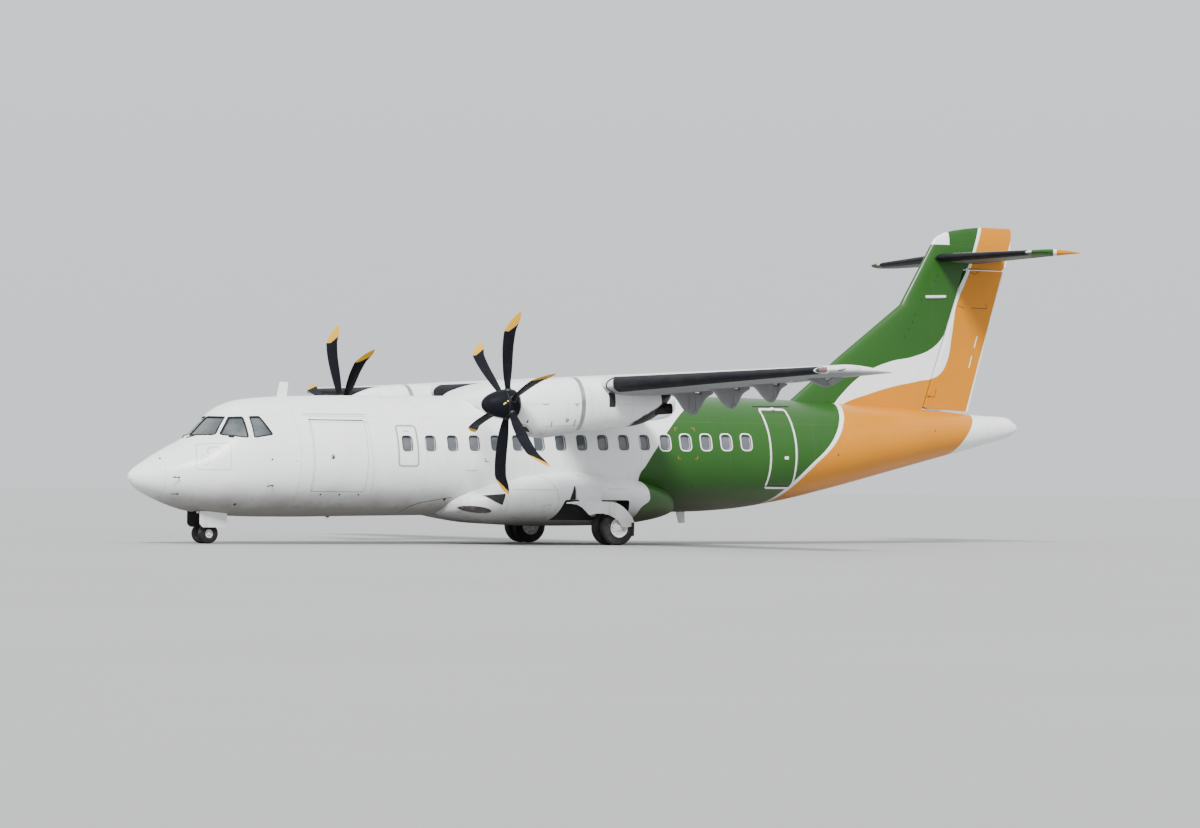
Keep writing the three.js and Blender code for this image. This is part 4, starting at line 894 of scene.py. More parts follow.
def hull_sizes(x, inset=0.0):
    """Half width, height over and depth under the widest line. The last stretch closes like an
    ellipse: every size falls with the root of 1 - t t, where t runs from 0 to 1 along it."""
    x = np.asarray(x, float)
    t = np.clip((x - TAIL_ROUND[0]) / TAIL_ROUND[1], 0, 1)
    close = np.sqrt(1 - t * t)
    body = np.minimum(x, TAIL_ROUND[0])
    level = hull_level(body)
    sizes = [hull_half(body), hull_top(body) - level, level - hull_bottom(body)]
    return [np.maximum(size * close - inset, 1e-4) for size in sizes] + [level]


def hull_rings(x, inset=0.0, floor=None):
    """Points around the fuselage: half cos a to the side, and up sin a or down sin a from the level."""
    a = np.linspace(0, 2 * np.pi, HULL_POINTS, endpoint=False)[None]
    half, above, below, level = (size[:, None] for size in hull_sizes(x, inset))
    z = level + np.where(np.sin(a) > 0, above, below) * np.sin(a)
    if floor is not None:
        z = np.maximum(z, floor)
    return np.stack([np.asarray(x)[:, None] + 0 * a, half * np.cos(a), z], -1)


def hull_stations(x0, x1):
    """Even stations, closer together where the nose curves."""
    step = 0.045 if x0 < 3 else 0.16
    return np.linspace(x0, x1, max(2, round((x1 - x0) / step) + 1))


def hull_side(x, z, lift=0.0):
    """Half width of the fuselage at a height: half times the root of 1 - s s, where s is the height
    from the widest line as a share of the section's height there."""
    half, above, below, level = hull_sizes(x, -lift)
    s = (z - level) / np.where(z > level, above, below)
    return half * np.sqrt(np.clip(1 - s * s, 0, 1))


def on_hull(side):
    """A surface for strips and plates: a flat point is a station and a height."""
    def surface(flat, lift):
        x, z = np.asarray(flat, float).T
        return np.column_stack([x, side * hull_side(x, z, lift), z])
    return surface


def room(name, x0, x1, floor):
    """The inside of the fuselage between two stations, above a floor."""
    return loft(name, hull_rings(hull_stations(x0, x1), WALL, floor))


def slab_along(name, outline, x0, x1):
    """An outline in side and height, pushed along from station x0 to x1."""
    outline = np.asarray(outline, float)
    return loft(name, [np.column_stack([np.full(len(outline), x), outline]) for x in (x0, x1)])


print(f"at station 8 it is {2 * hull_half(8.0):.2f} m wide, {hull_top(8.0) - hull_bottom(8.0):.2f} m high")

# %% Doorways, set square to their hinges
JOINTS = {joint["name"]: joint for joint in frame["joints"]}
GAP = 0.008


def hinge_axes(name):
    """A hinge's place by station, and the directions along it and across it (level)."""
    joint = JOINTS[name]
    along = np.array(joint["axis"])
    across = np.array([-along[1], along[0], 0])
    return np.array(joint["pos_m"]) - (NOSE, 0, 0), along, across


def doorway(name, joint, width, low, high, radii, gap=0.0, reach=(-0.52, 0.52), lean=0.0):
    """A cutter with rounded corners that passes through the skin at a hinge. Where it leans, its head
    comes down as it goes in, by lean metres a metre, so that the swinging leaf clears it."""
    place, along, across = hinge_axes(joint)
    corners = rectangle(gap, width - gap, low + gap, high - gap)
    u, v = rounded(corners, np.array(radii)[:, None]).T
    rings = []
    for depth in reach:
        z = v - lean * (depth + 0.25) * np.clip(v / high, 0, 1) if lean else v
        rings.append(place + u[:, None] * along + depth * across + z[:, None] * (0, 0, 1))
    return loft(name, rings)


CARGO = {"joint": "cargo_hatch_turn", "width": 1.2755, "low": -1.54, "high": 0.0,
         "radii": (0.09, 0.09, 0.02, 0.02), "reach": (-0.52, 0.20)}
AIRSTAIR = {"joint": "airstair_turn", "width": 0.7582, "low": 0.0, "high": 1.75,
            "radii": (0.02, 0.02, 0.16, 0.16), "lean": 0.17}
HINGE_GAP = 0.014  # room for the leaf's hinged edge to turn
CARGO_LEAF = {**CARGO, "high": -HINGE_GAP, "gap": GAP}
AIRSTAIR_LEAF = {**AIRSTAIR, "low": HINGE_GAP, "gap": GAP}
SERVICE = rounded(rectangle(14.98, 15.59, 1.375, 2.595), 0.12)
print("doorways at", CARGO["joint"], "and", AIRSTAIR["joint"])

# %% The barrel, section by section
SECTIONS = {"nose_section": (0.6, 3.35), "forward_fuselage": (3.35, 6.3), "centre_fuselage": (6.3, 11.6),
            "aft_fuselage": (11.6, 16.2)}
radome_x = np.concatenate([[0.003, 0.010, 0.020, 0.034, 0.052, 0.075], np.linspace(0.10, 0.60, 12)])
skins = {"radome": loft("radome_skin", hull_rings(radome_x), first=(0, 0, 1.42))}
for node, (x0, x1) in SECTIONS.items():
    skins[node] = loft(node + "_skin", hull_rings(hull_stations(x0, x1)))

JOINT_TOP, JOINT_SLOPE = 21.27, 0.7
joint_line = [(JOINT_TOP + JOINT_SLOPE * (z - 3.04), z) for z in (0.5, 5.0)]
tail_x = np.append(hull_stations(16.2, 22.6), 22.6 + 0.07 * np.sin(np.linspace(0.25, 1.35, 6)))
behind = slab("behind the joint", [joint_line[0], (23.5, 0.5), (23.5, 5.0), joint_line[1]], -2, 2)
for node, how in (("tail_fuselage", "DIFFERENCE"), ("tail_cone", "INTERSECT")):
    whole = loft(node + "_skin", hull_rings(tail_x), last=(LENGTH, 0, hull_level(22.6)))
    skins[node] = carve(whole, behind, how, keep=how == "DIFFERENCE")

# %% Rooms, doorways and leaves
nose = skins["nose_section"]
carve(nose, room("flight deck", 1.45, 3.36, 1.35))
carve(nose, slab("nose gear bay", rectangle(1.44, 2.16, 0.0, 1.15), -0.30, 0.30))
carve(skins["forward_fuselage"], room("hold", 3.5, 5.3, 1.05))
carve(skins["forward_fuselage"], doorway("hatchway", **CARGO))
carve(skins["aft_fuselage"], room("vestibule", 14.25, 16.05, 1.31))
carve(skins["aft_fuselage"], doorway("entry", **AIRSTAIR))
carve(skins["aft_fuselage"], slab("service doorway", SERVICE, 0.7, 1.7))


def wall_between(name, x0, x1):
    """The fuselage's wall alone, as a closed tube."""
    tube = loft(name, hull_rings(hull_stations(x0, x1)))
    return carve(tube, loft("inside", hull_rings(hull_stations(x0 - 0.1, x1 + 0.1), WALL)))


# Where the cabin windows are, and the sections of their frame, seal and lining (outwards, height)
WINDOWS = np.append(5.85, 6.405 + 0.5295 * np.arange(16))
WINDOW_HALF = (0.119, 0.163)
WINDOW_FRAME = [(0.004, -0.01), (0.004, 0.003), (0.02, 0.006), (0.037, 0.003), (0.038, -0.01)]
WINDOW_SEAL = [(-0.005, -0.012), (-0.004, 0.002), (0.002, 0.005), (0.008, 0.005), (0.008, -0.012)]
WINDOW_REVEAL = [(-0.004, -0.012), (0.006, -0.012), (0.006, -0.0535), (-0.006, -0.0535)]


def window_outline(x, grow=0.0):
    """A rounded rectangle at a station; its middle rises with the barrel."""
    half_x, half_z = WINDOW_HALF[0] + grow, WINDOW_HALF[1] + grow
    z = 2.180 + 0.0160 * (x - 6.4)
    return rounded(rectangle(x - half_x, x + half_x, z - half_z, z + half_z), 0.080 + grow)


for node, (x0, x1) in SECTIONS.items():
    holes = [under("hole", window_outline(x, 0.002), on_hull(side), -0.053, 0.03)
             for x in WINDOWS for side in SIDES.values() if x0 < x < x1]
    if holes:
        carve(skins[node], joined("holes", holes))


def leaf_of(name, x0, x1, cutter):
    """A door leaf: what the cutter keeps of the fuselage's wall."""
    return carve(wall_between(name, x0, x1), cutter, "INTERSECT")


cargo_leaf = leaf_of("cargo_leaf", 3.4, 5.2, doorway("leaf", **CARGO_LEAF))
airstair_leaf = leaf_of("airstair", 14.7, 16.0, doorway("leaf", **AIRSTAIR_LEAF))
service_leaf = leaf_of("service_leaf", 14.8, 15.8, slab("leaf", moved_out(SERVICE, -0.006), 0.7, 1.7))
print("cut", len(skins), "skins and three leaves")

# %% [markdown]
# ## Flight deck windows
#
# The panes sit behind the skin, in a recess as deep as their seal. The front panes are drawn as seen
# from ahead and the side panes as seen from the side, because each is nearly flat in that view. The
# glass itself is one smooth inner shell that shows through all of the holes.

# %% Panes cut through the nose
FRONT_PANE = [(0.030, 2.310), (0.030, 2.690), (0.570, 2.678), (0.735, 2.318)]
SEAL = [(-0.003, -0.030), (-0.003, 0.001), (0.004, 0.004), (0.018, 0.004), (0.022, 0.001), (0.022, -0.030)]
SIDE_PANES = [[(1.738, 2.318), (1.996, 2.670), (2.238, 2.682), (2.243, 2.264)],
              [(2.383, 2.266), (2.391, 2.688), (2.581, 2.694), (2.762, 2.330)]]
GLASS_IN, GLASS_THICK = 0.025, 0.020
PANE_BAND = np.array(rectangle(1.2, 2.9, 2.20, 2.78))


def in_band(name, inset, sill=0.0):
    """What lies inside the fuselage's skin, less an inset, in the band of the windows."""
    inside = loft(name, hull_rings(hull_stations(0.95, 3.3), inset))
    return carve(inside, slab("band", moved_out(PANE_BAND, -sill), -1.5, 1.5), "INTERSECT")


def on_nose(side):
    """A surface for what is drawn from ahead: a flat point is a distance to the side and a height. Its
    station is found by halving an interval until the hull there is as wide as the distance."""
    def surface(flat, lift):
        y, z = np.asarray(flat, float).T
        x = halved(np.full(len(y), 0.8), np.full(len(y), 3.0),
                   lambda x: hull_side(x, z, lift) < np.abs(y), rounds=40)
        return np.column_stack([x, side * y, z])
    return surface


carve(nose, in_band("recess", GLASS_IN))
front = rounded(anticlockwise(FRONT_PANE), 0.022)
pane_frames = []
for name, side in SIDES.items():
    carve(nose, slab_along("front pane", front * (side, 1), 1.15, 2.15))
    pane_frames.append(hoop_on("seal", front, SEAL, on_nose(side)))
for pane in SIDE_PANES:
    outline = rounded(anticlockwise(pane), 0.022)
    carve(nose, slab("side pane", outline, -1.6, 1.6))
    pane_frames += [hoop_on("seal", outline, SEAL, on_hull(side)) for side in SIDES.values()]
deck_glass = carve(in_band("flight_deck_glass", GLASS_IN + 0.0003, 0.0003),
                   in_band("behind", GLASS_IN + GLASS_THICK))
pane_frames = joined("flight_deck_window_seals", pane_frames)
dress(deck_glass, flight_deck_glass, "window_glass", replaces=["flight_deck_glazing"])
dress(pane_frames, seal_rubber, "tyre_rubber")
print(len(deck_glass.data.polygons), "faces in the flight deck's glass")

# %% Paint and lining for the skins
INNER_SHARE = 0.962  # of the way from the axis to the skin


def second_material(piece, material, chosen):
    """Gives another material to the faces for whose middles (station, side, height) chosen is true."""
    piece.data.materials.append(material)
    middles = np.empty(len(piece.data.polygons) * 3)
    piece.data.polygons.foreach_get("center", middles)
    x, y, z = middles.reshape(-1, 3).T
    piece.data.polygons.foreach_set("material_index", chosen(x - NOSE, y, z).astype(np.int32))
    return piece


def line_rooms(piece):
    """Lines a room: its faces are nearer the axis than the inner share of the way to the skin."""
    def inside(x, y, z):
        half, above, below, level = hull_sizes(x)
        return np.hypot(y / half, (z - level) / np.where(z > level, above, below)) < INNER_SHARE
    return second_material(piece, lining, inside)


SKIN_SLOTS = {"aft_fuselage": "livery_green", "tail_fuselage": "livery_orange"}
for node in ("radome", *SECTIONS, "tail_fuselage", "tail_cone"):
    paint = white_paint if node == "tail_cone" else fuselage_paint
    dress(skins[node], paint, SKIN_SLOTS.get(node, "fuselage_white"), replaces=[node])
for node in ("nose_section", "forward_fuselage", "aft_fuselage"):
    line_rooms(skins[node])
line_rooms(dress(cargo_leaf, fuselage_paint, "fuselage_white", "cargo_hatch", ["cargo_door"]))
line_rooms(dress(service_leaf, fuselage_paint, "livery_green", replaces=["service_door"]))
print("painted", len(skins), "skins and two leaves")

# %% The airstair's treads
place, along, across = hinge_axes(AIRSTAIR["joint"])
TREAD_RISE, TREAD_DEPTH, TREAD_THICK = 0.355, 0.25, 0.03


def at_stair(u, v, w):
    """A point in the airstair's frame: u along its hinge, v inboard, w up from the hinge."""
    return place + np.asarray(u)[..., None] * along + np.asarray(v)[..., None] * across \
        + np.asarray(w)[..., None] * np.array([0, 0, 1])


def stair_tread(index):
    """One tread: a thin box with a rolled front edge, from the leaf's inner face inwards."""
    height = 0.13 + index * TREAD_RISE
    y = np.abs(hull_side(place[0] + 0.4, place[2] + height, -0.066))
    start = abs(place[1]) - float(y)
    front = start + TREAD_DEPTH
    v, w = np.array([(start, 0.0), (front, 0.0), (front + 0.012, 0.006), (front + 0.012, TREAD_THICK - 0.006),
                     (front, TREAD_THICK), (start, TREAD_THICK)]).T
    return loft("tread", [at_stair(np.full(6, u), v, w + height) for u in (0.09, AIRSTAIR["width"] - 0.09)])


treads = [stair_tread(i) for i in range(5)]
line_rooms(dress(airstair_leaf, fuselage_paint, "livery_green", "airstair", ["passenger_door"]))
dress(joined("airstair_treads", treads), steel, "interior_plastic", "airstair")
print("airstair:", len(treads), "treads")

# %% [markdown]
# ## Windows, doors and small parts of the fuselage
#
# The cabin windows follow each other at a bit more than half a metre, and rise slightly along the
# sloping barrel. Each is a dark pane in a light frame that stands a few millimetres proud. Doors and
# hatches show as gaps, seals and painted outlines.

# %% Cabin windows
for name, side in SIDES.items():
    surface = on_hull(side)
    outlines = [window_outline(x) for x in WINDOWS]
    panes = [plate("pane", outline, surface, lift=-0.047, depth=0.054) for outline in outlines]
    dress(joined("cabin_windows_" + name, panes), cabin_glass, "window_glass")
    for label, section, material, slot in (("frames", WINDOW_FRAME, white_line, "fuselage_white"),
                                           ("seals", WINDOW_SEAL, seal_rubber, "tyre_rubber"),
                                           ("reveals", WINDOW_REVEAL, frame_enamel, "interior_plastic")):
        hoops = [hoop_on("hoop", outline, section, surface) for outline in outlines]
        dress(joined(f"cabin_window_{label}_{name}", hoops), material, slot)
print(len(WINDOWS), "windows on each side")

# %% Lines and marks on both sides
port, starboard = on_hull(-1), on_hull(1)
exit_line = rounded(rectangle(5.632, 6.095, 1.686, 2.554), 0.075)
exit_handle = rounded(rectangle(5.79, 5.92, 2.42, 2.45), 0.01)
avionics = rounded([(1.150, 1.567), (1.842, 1.570), (1.872, 2.140), (1.270, 2.098)], 0.05)
handle_arc = [(1.435, 1.888), (1.428, 1.952), (1.457, 2.017), (1.501, 2.041), (1.649, 2.043), (1.684, 1.954)]
nacelle_arc = [(7.896, 3.198), (7.800, 3.125), (7.759, 3.060), (7.765, 2.985), (7.903, 2.894)]
fairing_arc = [(6.09, 0.674), (6.13, 0.75), (6.20, 0.83), (6.40, 0.90), (6.85, 0.985), (7.10, 1.02)]
grey_bits, white_bits, dark_bits, pale_bits, rescue_bits = [], [], [], [], []
for surface in (port, starboard):
    grey_bits += [strip("exit", exit_line, 0.038, surface), trace("handle", handle_arc, 0.010, surface),
                  trace("step line", [(7.247, 1.598), (7.515, 1.601)], 0.012, surface)]
    pale_bits += [strip("hatch", avionics, 0.014, surface),
                  strip("catch", ellipse(1.356, 1.766, 0.084, 0.09), 0.009, surface),
                  plate("handle", exit_handle, surface, 0.003)]
    dark_bits += [trace("corner", [(7.708, 1.872), (7.708, 1.800)], 0.014, surface),
                  trace("corner", [(7.702, 1.801), (7.793, 1.801)], 0.014, surface),
                  trace("gutter", [(14.88, 3.135), (15.88, 3.152)], 0.014, surface, 0.008),
                  trace("arc", nacelle_arc, 0.008, surface), trace("fillet", fairing_arc, 0.010, surface)]
    for x, ahead in ((12.545, 1), (13.045, -1)):
        for z, rise in ((2.605, -1), (1.915, 1)):
            rescue_bits += [trace("mark", [(x, z), (x + 0.07 * ahead, z)], 0.016, surface),
                            trace("mark", [(x, z - 0.008 * rise), (x, z + 0.07 * rise)], 0.016, surface)]


print("laid", len(grey_bits) + len(pale_bits) + len(dark_bits) + len(rescue_bits), "lines on both sides")

# %% Lines across the doorways, split between leaf and skin
ENTRY_LINE = rounded([(14.985, 1.283), (15.745, 1.283), (15.690, 1.760), (15.690, 3.072),
                      (14.985, 3.072)], 0.07)
HATCH_LINE = rounded([(3.668, 1.048), (5.090, 1.056), (4.985, 2.200), (4.985, 2.748), (3.668, 2.730)], 0.05)


def split_at_door(door, leaf, name, make):
    """Lines laid over a doorway: what lies on its leaf, and what lies on the skin round it."""
    return (carve(joined(name + "_leaf", make()), doorway("leaf", **leaf), "INTERSECT"),
            carve(joined(name + "_skin", make()), doorway("entry", **door)))


def entry_lines():
    return [strip("entry", ENTRY_LINE, 0.045, port)]


def hatch_lines():
    return [strip("hatch line", HATCH_LINE, 0.010, port),
            trace("hatch fold", [(3.668, 2.600), (4.985, 2.615)], 0.008, port)]


entry_leaf, entry_skin = split_at_door(AIRSTAIR, AIRSTAIR_LEAF, "entry_line", entry_lines)
hatch_leaf, hatch_skin = split_at_door(CARGO, CARGO_LEAF, "hatch_line", hatch_lines)
white_bits += [entry_skin, strip("service", moved_out(anticlockwise(SERVICE), 0.035), 0.04, starboard),
               plate("fitting", ellipse(15.374, 3.085, 0.05, 0.03), port, lift=0.02, dome=0.02)]
pale_bits += [trace("hatch hinge", [(3.55, 2.775), (5.02, 2.790)], 0.016, port, 0.006), hatch_skin]
stair_handle = plate("handle", rounded(rectangle(15.36, 15.47, 1.93, 2.0), 0.02), port, lift=0.004)
hatch_handle = plate("hatch handle", ellipse(4.078, 1.865, 0.05, 0.06), port, lift=0.003)
hatch_lock = plate("lock", ellipse(4.085, 1.850, 0.024, 0.028), port, lift=0.005)
dress(joined("airstair_lines", [entry_leaf, stair_handle]), white_line, "fuselage_white", "airstair")
dress(hatch_leaf, pale_line, "fuselage_white", "cargo_hatch")
dress(joined("hatch_handle", [hatch_handle]), grey_line, "fuselage_white", "cargo_hatch")
dress(joined("hatch_lock", [hatch_lock]), black_marks_and_shade, "fuselage_white", "cargo_hatch")

# %% Small ports, and the lines of each colour as one piece
PORTS = [(0.569, 1.797, 0.016), (0.760, 1.402, 0.018), (2.101, 0.838, 0.026), (2.667, 1.226, 0.016),
         (2.708, 1.793, 0.020), (3.238, 1.764, 0.010), (6.932, 0.975, 0.030), (13.0, 1.30, 0.02),
         (16.9, 2.05, 0.02), (19.9, 2.65, 0.02)]
# Latches and ports are dark plates; on the ports the dark is painted shade for their holes
dark_bits += [plate("latch", ellipse(x, 1.060, 0.020, 0.020), port, lift=0.003) for x in (3.91, 4.358, 4.811)]
dark_bits += [plate("port", ellipse(x, z, size, size, 20), surface)
              for x, z, size in PORTS for surface in (port, starboard)]
for name, bits, material, slot in (("pale_lines", pale_bits, pale_line, "fuselage_white"),
                                   ("rescue_marks", rescue_bits, rescue_mark, "livery_green"),
                                   ("door_and_hatch_lines", grey_bits, grey_line, "fuselage_white"),
                                   ("white_door_lines", white_bits, white_line, "fuselage_white"),
                                   ("latches_and_vents", dark_bits, black_marks_and_shade, "fuselage_white")):
    dress(joined(name, bits), material, slot)
print(len(PORTS), "ports on each side")

# %% Probes, wipers, aerials and beacons
AERIAL_HALF = 0.014  # half the thickness of an aerial


def pitot(x, z, side, length):
    """A bent tube: it comes out of the skin on a short mast and turns forwards."""
    y = side * float(hull_side(x, z))
    foot, elbow = np.array([x + 0.05, y - side * 0.02, z]), np.array([x, y + side * 0.085, z])
    ahead = elbow - (length, 0, 0)
    mast = rod("mast", foot, elbow + (elbow - foot) * 0.03, 0.017, 0.010, count=16)
    tube = rod("tube", elbow + (0.03, 0, 0), ahead, 0.011, 0.007, count=16)
    return [mast, tube]


def blade_aerial(name, outline):
    """A raked thin fin along the plane of symmetry, with rounded edges: the outline shrinks towards
    both sides like half an ellipse."""
    outline = anticlockwise(rounded(outline, 0.03))
    middle = outline.mean(0)
    rings = []
    for t in np.linspace(-1, 1, 9):
        shrink = 0.86 + 0.14 * math.sqrt(max(1 - t * t, 0))
        flat = middle + shrink * (outline - middle)
        rings.append(np.column_stack([flat[:, 0], np.full(len(flat), t * AERIAL_HALF), flat[:, 1]]))
    return loft(name, rings)


probes = []
for side in SIDES.values():
    probes += pitot(0.80, 1.40, side, 0.14) + pitot(0.84, 1.05, side, 0.16) + pitot(2.72, 1.24, side, 0.10)
    spots = on_nose(side)(np.array([(0.11, 2.245), (0.31, 2.296), (0.16, 2.282), (0.70, 2.300)]), 0.010)
    probes += [rod("arm", spots[0], spots[1], 0.014, 0.010, count=14),
               rod("wiper", spots[2], spots[3], 0.009, count=12)]
    foot, tip = (on_hull(side)(np.array([spot]), 0.012)[0] for spot in ((1.865, 2.275), (1.965, 2.262)))
    probes.append(rod("washer", foot, tip, 0.020, 0.016, count=14))
dress(joined("probes_and_wipers", probes), sooty_steel, "engine_metal")
for place_name, outline in (("top", [(3.38, 3.10), (3.62, 3.10), (3.67, 3.47), (3.46, 3.47)]),
                            ("belly", [(13.30, 0.78), (13.39, 0.47), (13.56, 0.47), (13.545, 0.78)])):
    dress(blade_aerial(place_name + "_aerial", outline), white_paint, "fuselage_white",
          replaces=[place_name + "_antenna"])


def dome(name, middle, size, up_or_down):
    """A lamp's dome: half an ellipse turned about the upright."""
    a = np.linspace(0, np.pi / 2, 9)
    profile = [(-0.02, 0.0), (-0.02, size)] + [(size * 1.3 * math.sin(t), size * math.cos(t)) for t in a[:-1]]
    return turned(name, profile + [(size * 1.3, 0.0)], middle, (0, 0, up_or_down), 24)


lamp_place = (4.62, 0, float(hull_bottom(4.62)))
lamp_foot = [(0, 0), (0, 0.05), (0.012, 0.045), (0.012, 0)]
dress(turned("belly_lamp_foot", lamp_foot, lamp_place, (0, 0, -1), 24), seal_rubber, "fuselage_white")
dress(joined("belly_lamp", [dome("lamp", lamp_place, 0.036, -1)]), white_line, "window_glass")
print(len(probes), "probes and wipers")

# %% [markdown]
# ## The wing
#
# The wing is a classic aerofoil on a mean line with a little camber. Its middle part keeps one chord,
# so one section is enough there; the outer panels taper straight, and only the last hand's breadth
# rounds off. Flaps and ailerons are cut from the same skin, so that their shape goes on without a step.

# %% Aerofoil sections
WING = np.array([8.90, 2.57, 3.42, 0.18])
WING_TIP = np.array([9.69, 1.41, 3.60, 0.13])
ROUNDING, INCIDENCE = 0.15, 0.026
REAR_SPAR, FLAP_GAP, FLAP_HINGE = 10.745, 0.02, 10.62
WING_POINTS = 40  # from the trailing edge to the nose


def wing_values(y):
    """Leading edge, chord, height and thickness ratio: even in the middle, then falling straight to
    the tip, where a quarter of an ellipse closes them."""
    y = np.abs(np.asarray(y, float))
    t = np.clip((y - BREAK) / (HALF_SPAN - BREAK), 0, 1)[..., None]
    lead, chord, level, ratio = np.moveaxis(WING + t * (WING_TIP - WING), -1, 0)
    s = np.clip((y - HALF_SPAN + ROUNDING) / ROUNDING, 0, 1)
    close = 1 - np.sqrt(1 - s * s)
    return lead + 0.13 * close, chord - 0.17 * close, level, ratio * (1 - 0.9 * close)


def wing_point(u, upper, y):
    """A point of the skin. Above and below the camber line 0.08 u (1-u) lies the half thickness
    5 ratio (0.2969 sqrt(u) - 0.126 u - 0.3516 u u + 0.2843 u u u - 0.1015 u u u u)."""
    lead, chord, level, ratio = wing_values(y)
    half = 5 * ratio * (0.2969 * np.sqrt(u) - 0.126 * u - 0.3516 * u ** 2 + 0.2843 * u ** 3 - 0.1015 * u ** 4)
    x = lead + u * chord
    z = level + chord * (0.08 * u * (1 - u) + upper * half) - INCIDENCE * u * chord
    return np.stack([x + 0 * z, y + 0 * z, z], -1)


def wing_rings(ys):
    """Rings around the wing, from the trailing edge over the top to the nose and back below."""
    u = (1 - np.cos(np.linspace(0, np.pi, WING_POINTS))) / 2
    steps = np.concatenate([u[::-1], u[1:]])
    upper = np.where(np.arange(len(steps)) < WING_POINTS, 1.0, -1.0)
    return wing_point(steps[None], upper[None], np.asarray(ys, float)[:, None])


def wing_under(y, x):
    """Height of the wing's underside at a station."""
    lead, chord, _, _ = wing_values(y)
    return wing_point((x - lead) / chord, -1.0, np.asarray(y, float))[..., 2]


def flap_block(span, rise, gap):
    """The block that a flap fills; its ends stand square to the hinge line, which rises outboard."""
    corners = rectangle(span[0] + gap, span[1] - gap, 2.0, 4.5)
    front = REAR_SPAR + (FLAP_GAP if gap else 0)
    return slab_along("flap block", [(y - rise * (z - 3.3), z) for y, z in corners], front, 12.0)


print(f"the wing's underside at the root is {wing_under(0.0, 10.0):.2f} m high")

# %% Flaps and ailerons, cut from the wing's skin
FLAPS = {"inner": ((1.52, 3.54), 0.0, [2.5]), "outer": ((4.765, 8.62), 0.0671, [5.37, 6.94, 8.50])}
AILERON_SPAN, AILERON_HINGE, AILERON_SPAR = (8.70, 12.0), 10.745, 10.640
tip_ys = HALF_SPAN - ROUNDING + ROUNDING * np.sin(np.linspace(0, 1.45, 9))
outer_ys = np.concatenate([np.linspace(BREAK, HALF_SPAN - ROUNDING, 12), tip_ys[1:]])


def aileron_block(gap):
    """The block that the aileron fills; its bay in the wing has no gap and starts at the spar."""
    front = AILERON_HINGE if gap else AILERON_SPAR
    start, end = AILERON_SPAN
    return slab("aileron block", rectangle(front, 12.0, 3.0, 4.2), start + gap, end - gap)


wings = {"wing_centre": loft("wing_centre_skin", wing_rings(np.linspace(-BREAK, BREAK, 9))),
         "wing_outer": loft("wing_outer_skin", wing_rings(outer_ys))}
inner_block = flap_block(*FLAPS["inner"][:2], 0.0)
carve(wings["wing_centre"], mirrored(inner_block, "port block"))
carve(wings["wing_centre"], inner_block)
carve(wings["wing_outer"], flap_block(*FLAPS["outer"][:2], 0.0))
carve(wings["wing_outer"], aileron_block(0.0))
cutters = {"flap_inner": ([0.0, BREAK], flap_block(*FLAPS["inner"][:2], GAP)),
           "flap_outer": (outer_ys, flap_block(*FLAPS["outer"][:2], GAP)),
           "aileron": (outer_ys, aileron_block(GAP))}
moving = {name: carve(loft(name, wing_rings(ys)), cutter, "INTERSECT")
          for name, (ys, cutter) in cutters.items()}
print("wing:", sum(len(piece.data.polygons) for piece in wings.values()), "faces")

# %% Flap fairings, hinges and leading edges
BOXY = 2 / 3
SHEET = 0.003  # how far a de-icing boot stands proud of the skin


def boxy_rings(x, top, bottom, half, y, count):
    """Rounded-box sections along the stations: the side is half times cos a and the height half the
    depth times sin a, both raised to a power below one, which fills the corners."""
    a = np.linspace(0, 2 * np.pi, count, endpoint=False)[None]
    x, top, bottom, half = (np.asarray(v, float)[:, None] + 0 * a for v in (x, top, bottom, half))
    side = half * np.sign(np.cos(a)) * np.abs(np.cos(a)) ** BOXY
    rise = (top - bottom) / 2 * np.sign(np.sin(a)) * np.abs(np.sin(a)) ** BOXY
    return np.stack([x, y + side, (top + bottom) / 2 + rise], -1)


def track_nose(y, hinge, scale):
    """The fixed front of a flap track's fairing: a deep narrow boat from the wing down to the hinge."""
    under = float(wing_under(y, REAR_SPAR - 0.06))
    foot = hinge - 0.058
    table = np.array([(-0.76 * scale, under + 0.06), (-0.62 * scale, under - 0.055),
                      (-0.50 * scale, under - 0.095), (-0.21 * scale, foot + 0.075),
                      (-0.03, foot), (0.0, foot)])
    x = np.linspace(table[0, 0], 0, 26)
    half = 0.06 * np.sqrt(np.clip(1 - ((x + 0.3) / 0.62).clip(-1, 0) ** 2, 0.02, 1))
    low = curve_through(table, 1)(x)
    boat = loft("boat", boxy_rings(FLAP_HINGE + x, 0 * x + under + 0.09, low, half, y, 28))
    cheek = rod("cheek", (FLAP_HINGE, y - 0.06, hinge), (FLAP_HINGE, y + 0.06, hinge), 0.05)
    return [boat, cheek]


def track_tail(y, hinge, scale):
    """Its moving rear, which hangs under the flap and runs out to a point behind the hinge."""
    under = float(wing_under(y, REAR_SPAR - 0.06))
    end = 0.47 * scale
    low = np.array([(0.007, hinge - 0.050), (0.06, hinge - 0.028), (end * 0.6, under - 0.14 * scale),
                    (end, under - 0.028 * scale)])
    x = np.concatenate([np.linspace(0.007, 0.159, 10), np.linspace(0.161, end, 16)])
    top = np.where(x < 0.16, under - 0.02, under + 0.05)
    half = 0.06 * np.sqrt(np.clip(1 - (x / (end * 1.02)) ** 3, 0.05, 1))
    boat = loft("boat", boxy_rings(FLAP_HINGE + x, top, curve_through(low, 1)(x), half, y, 28))
    return carve(boat, rod("round", (FLAP_HINGE, y - 0.1, hinge), (FLAP_HINGE, y + 0.1, hinge), 0.058))


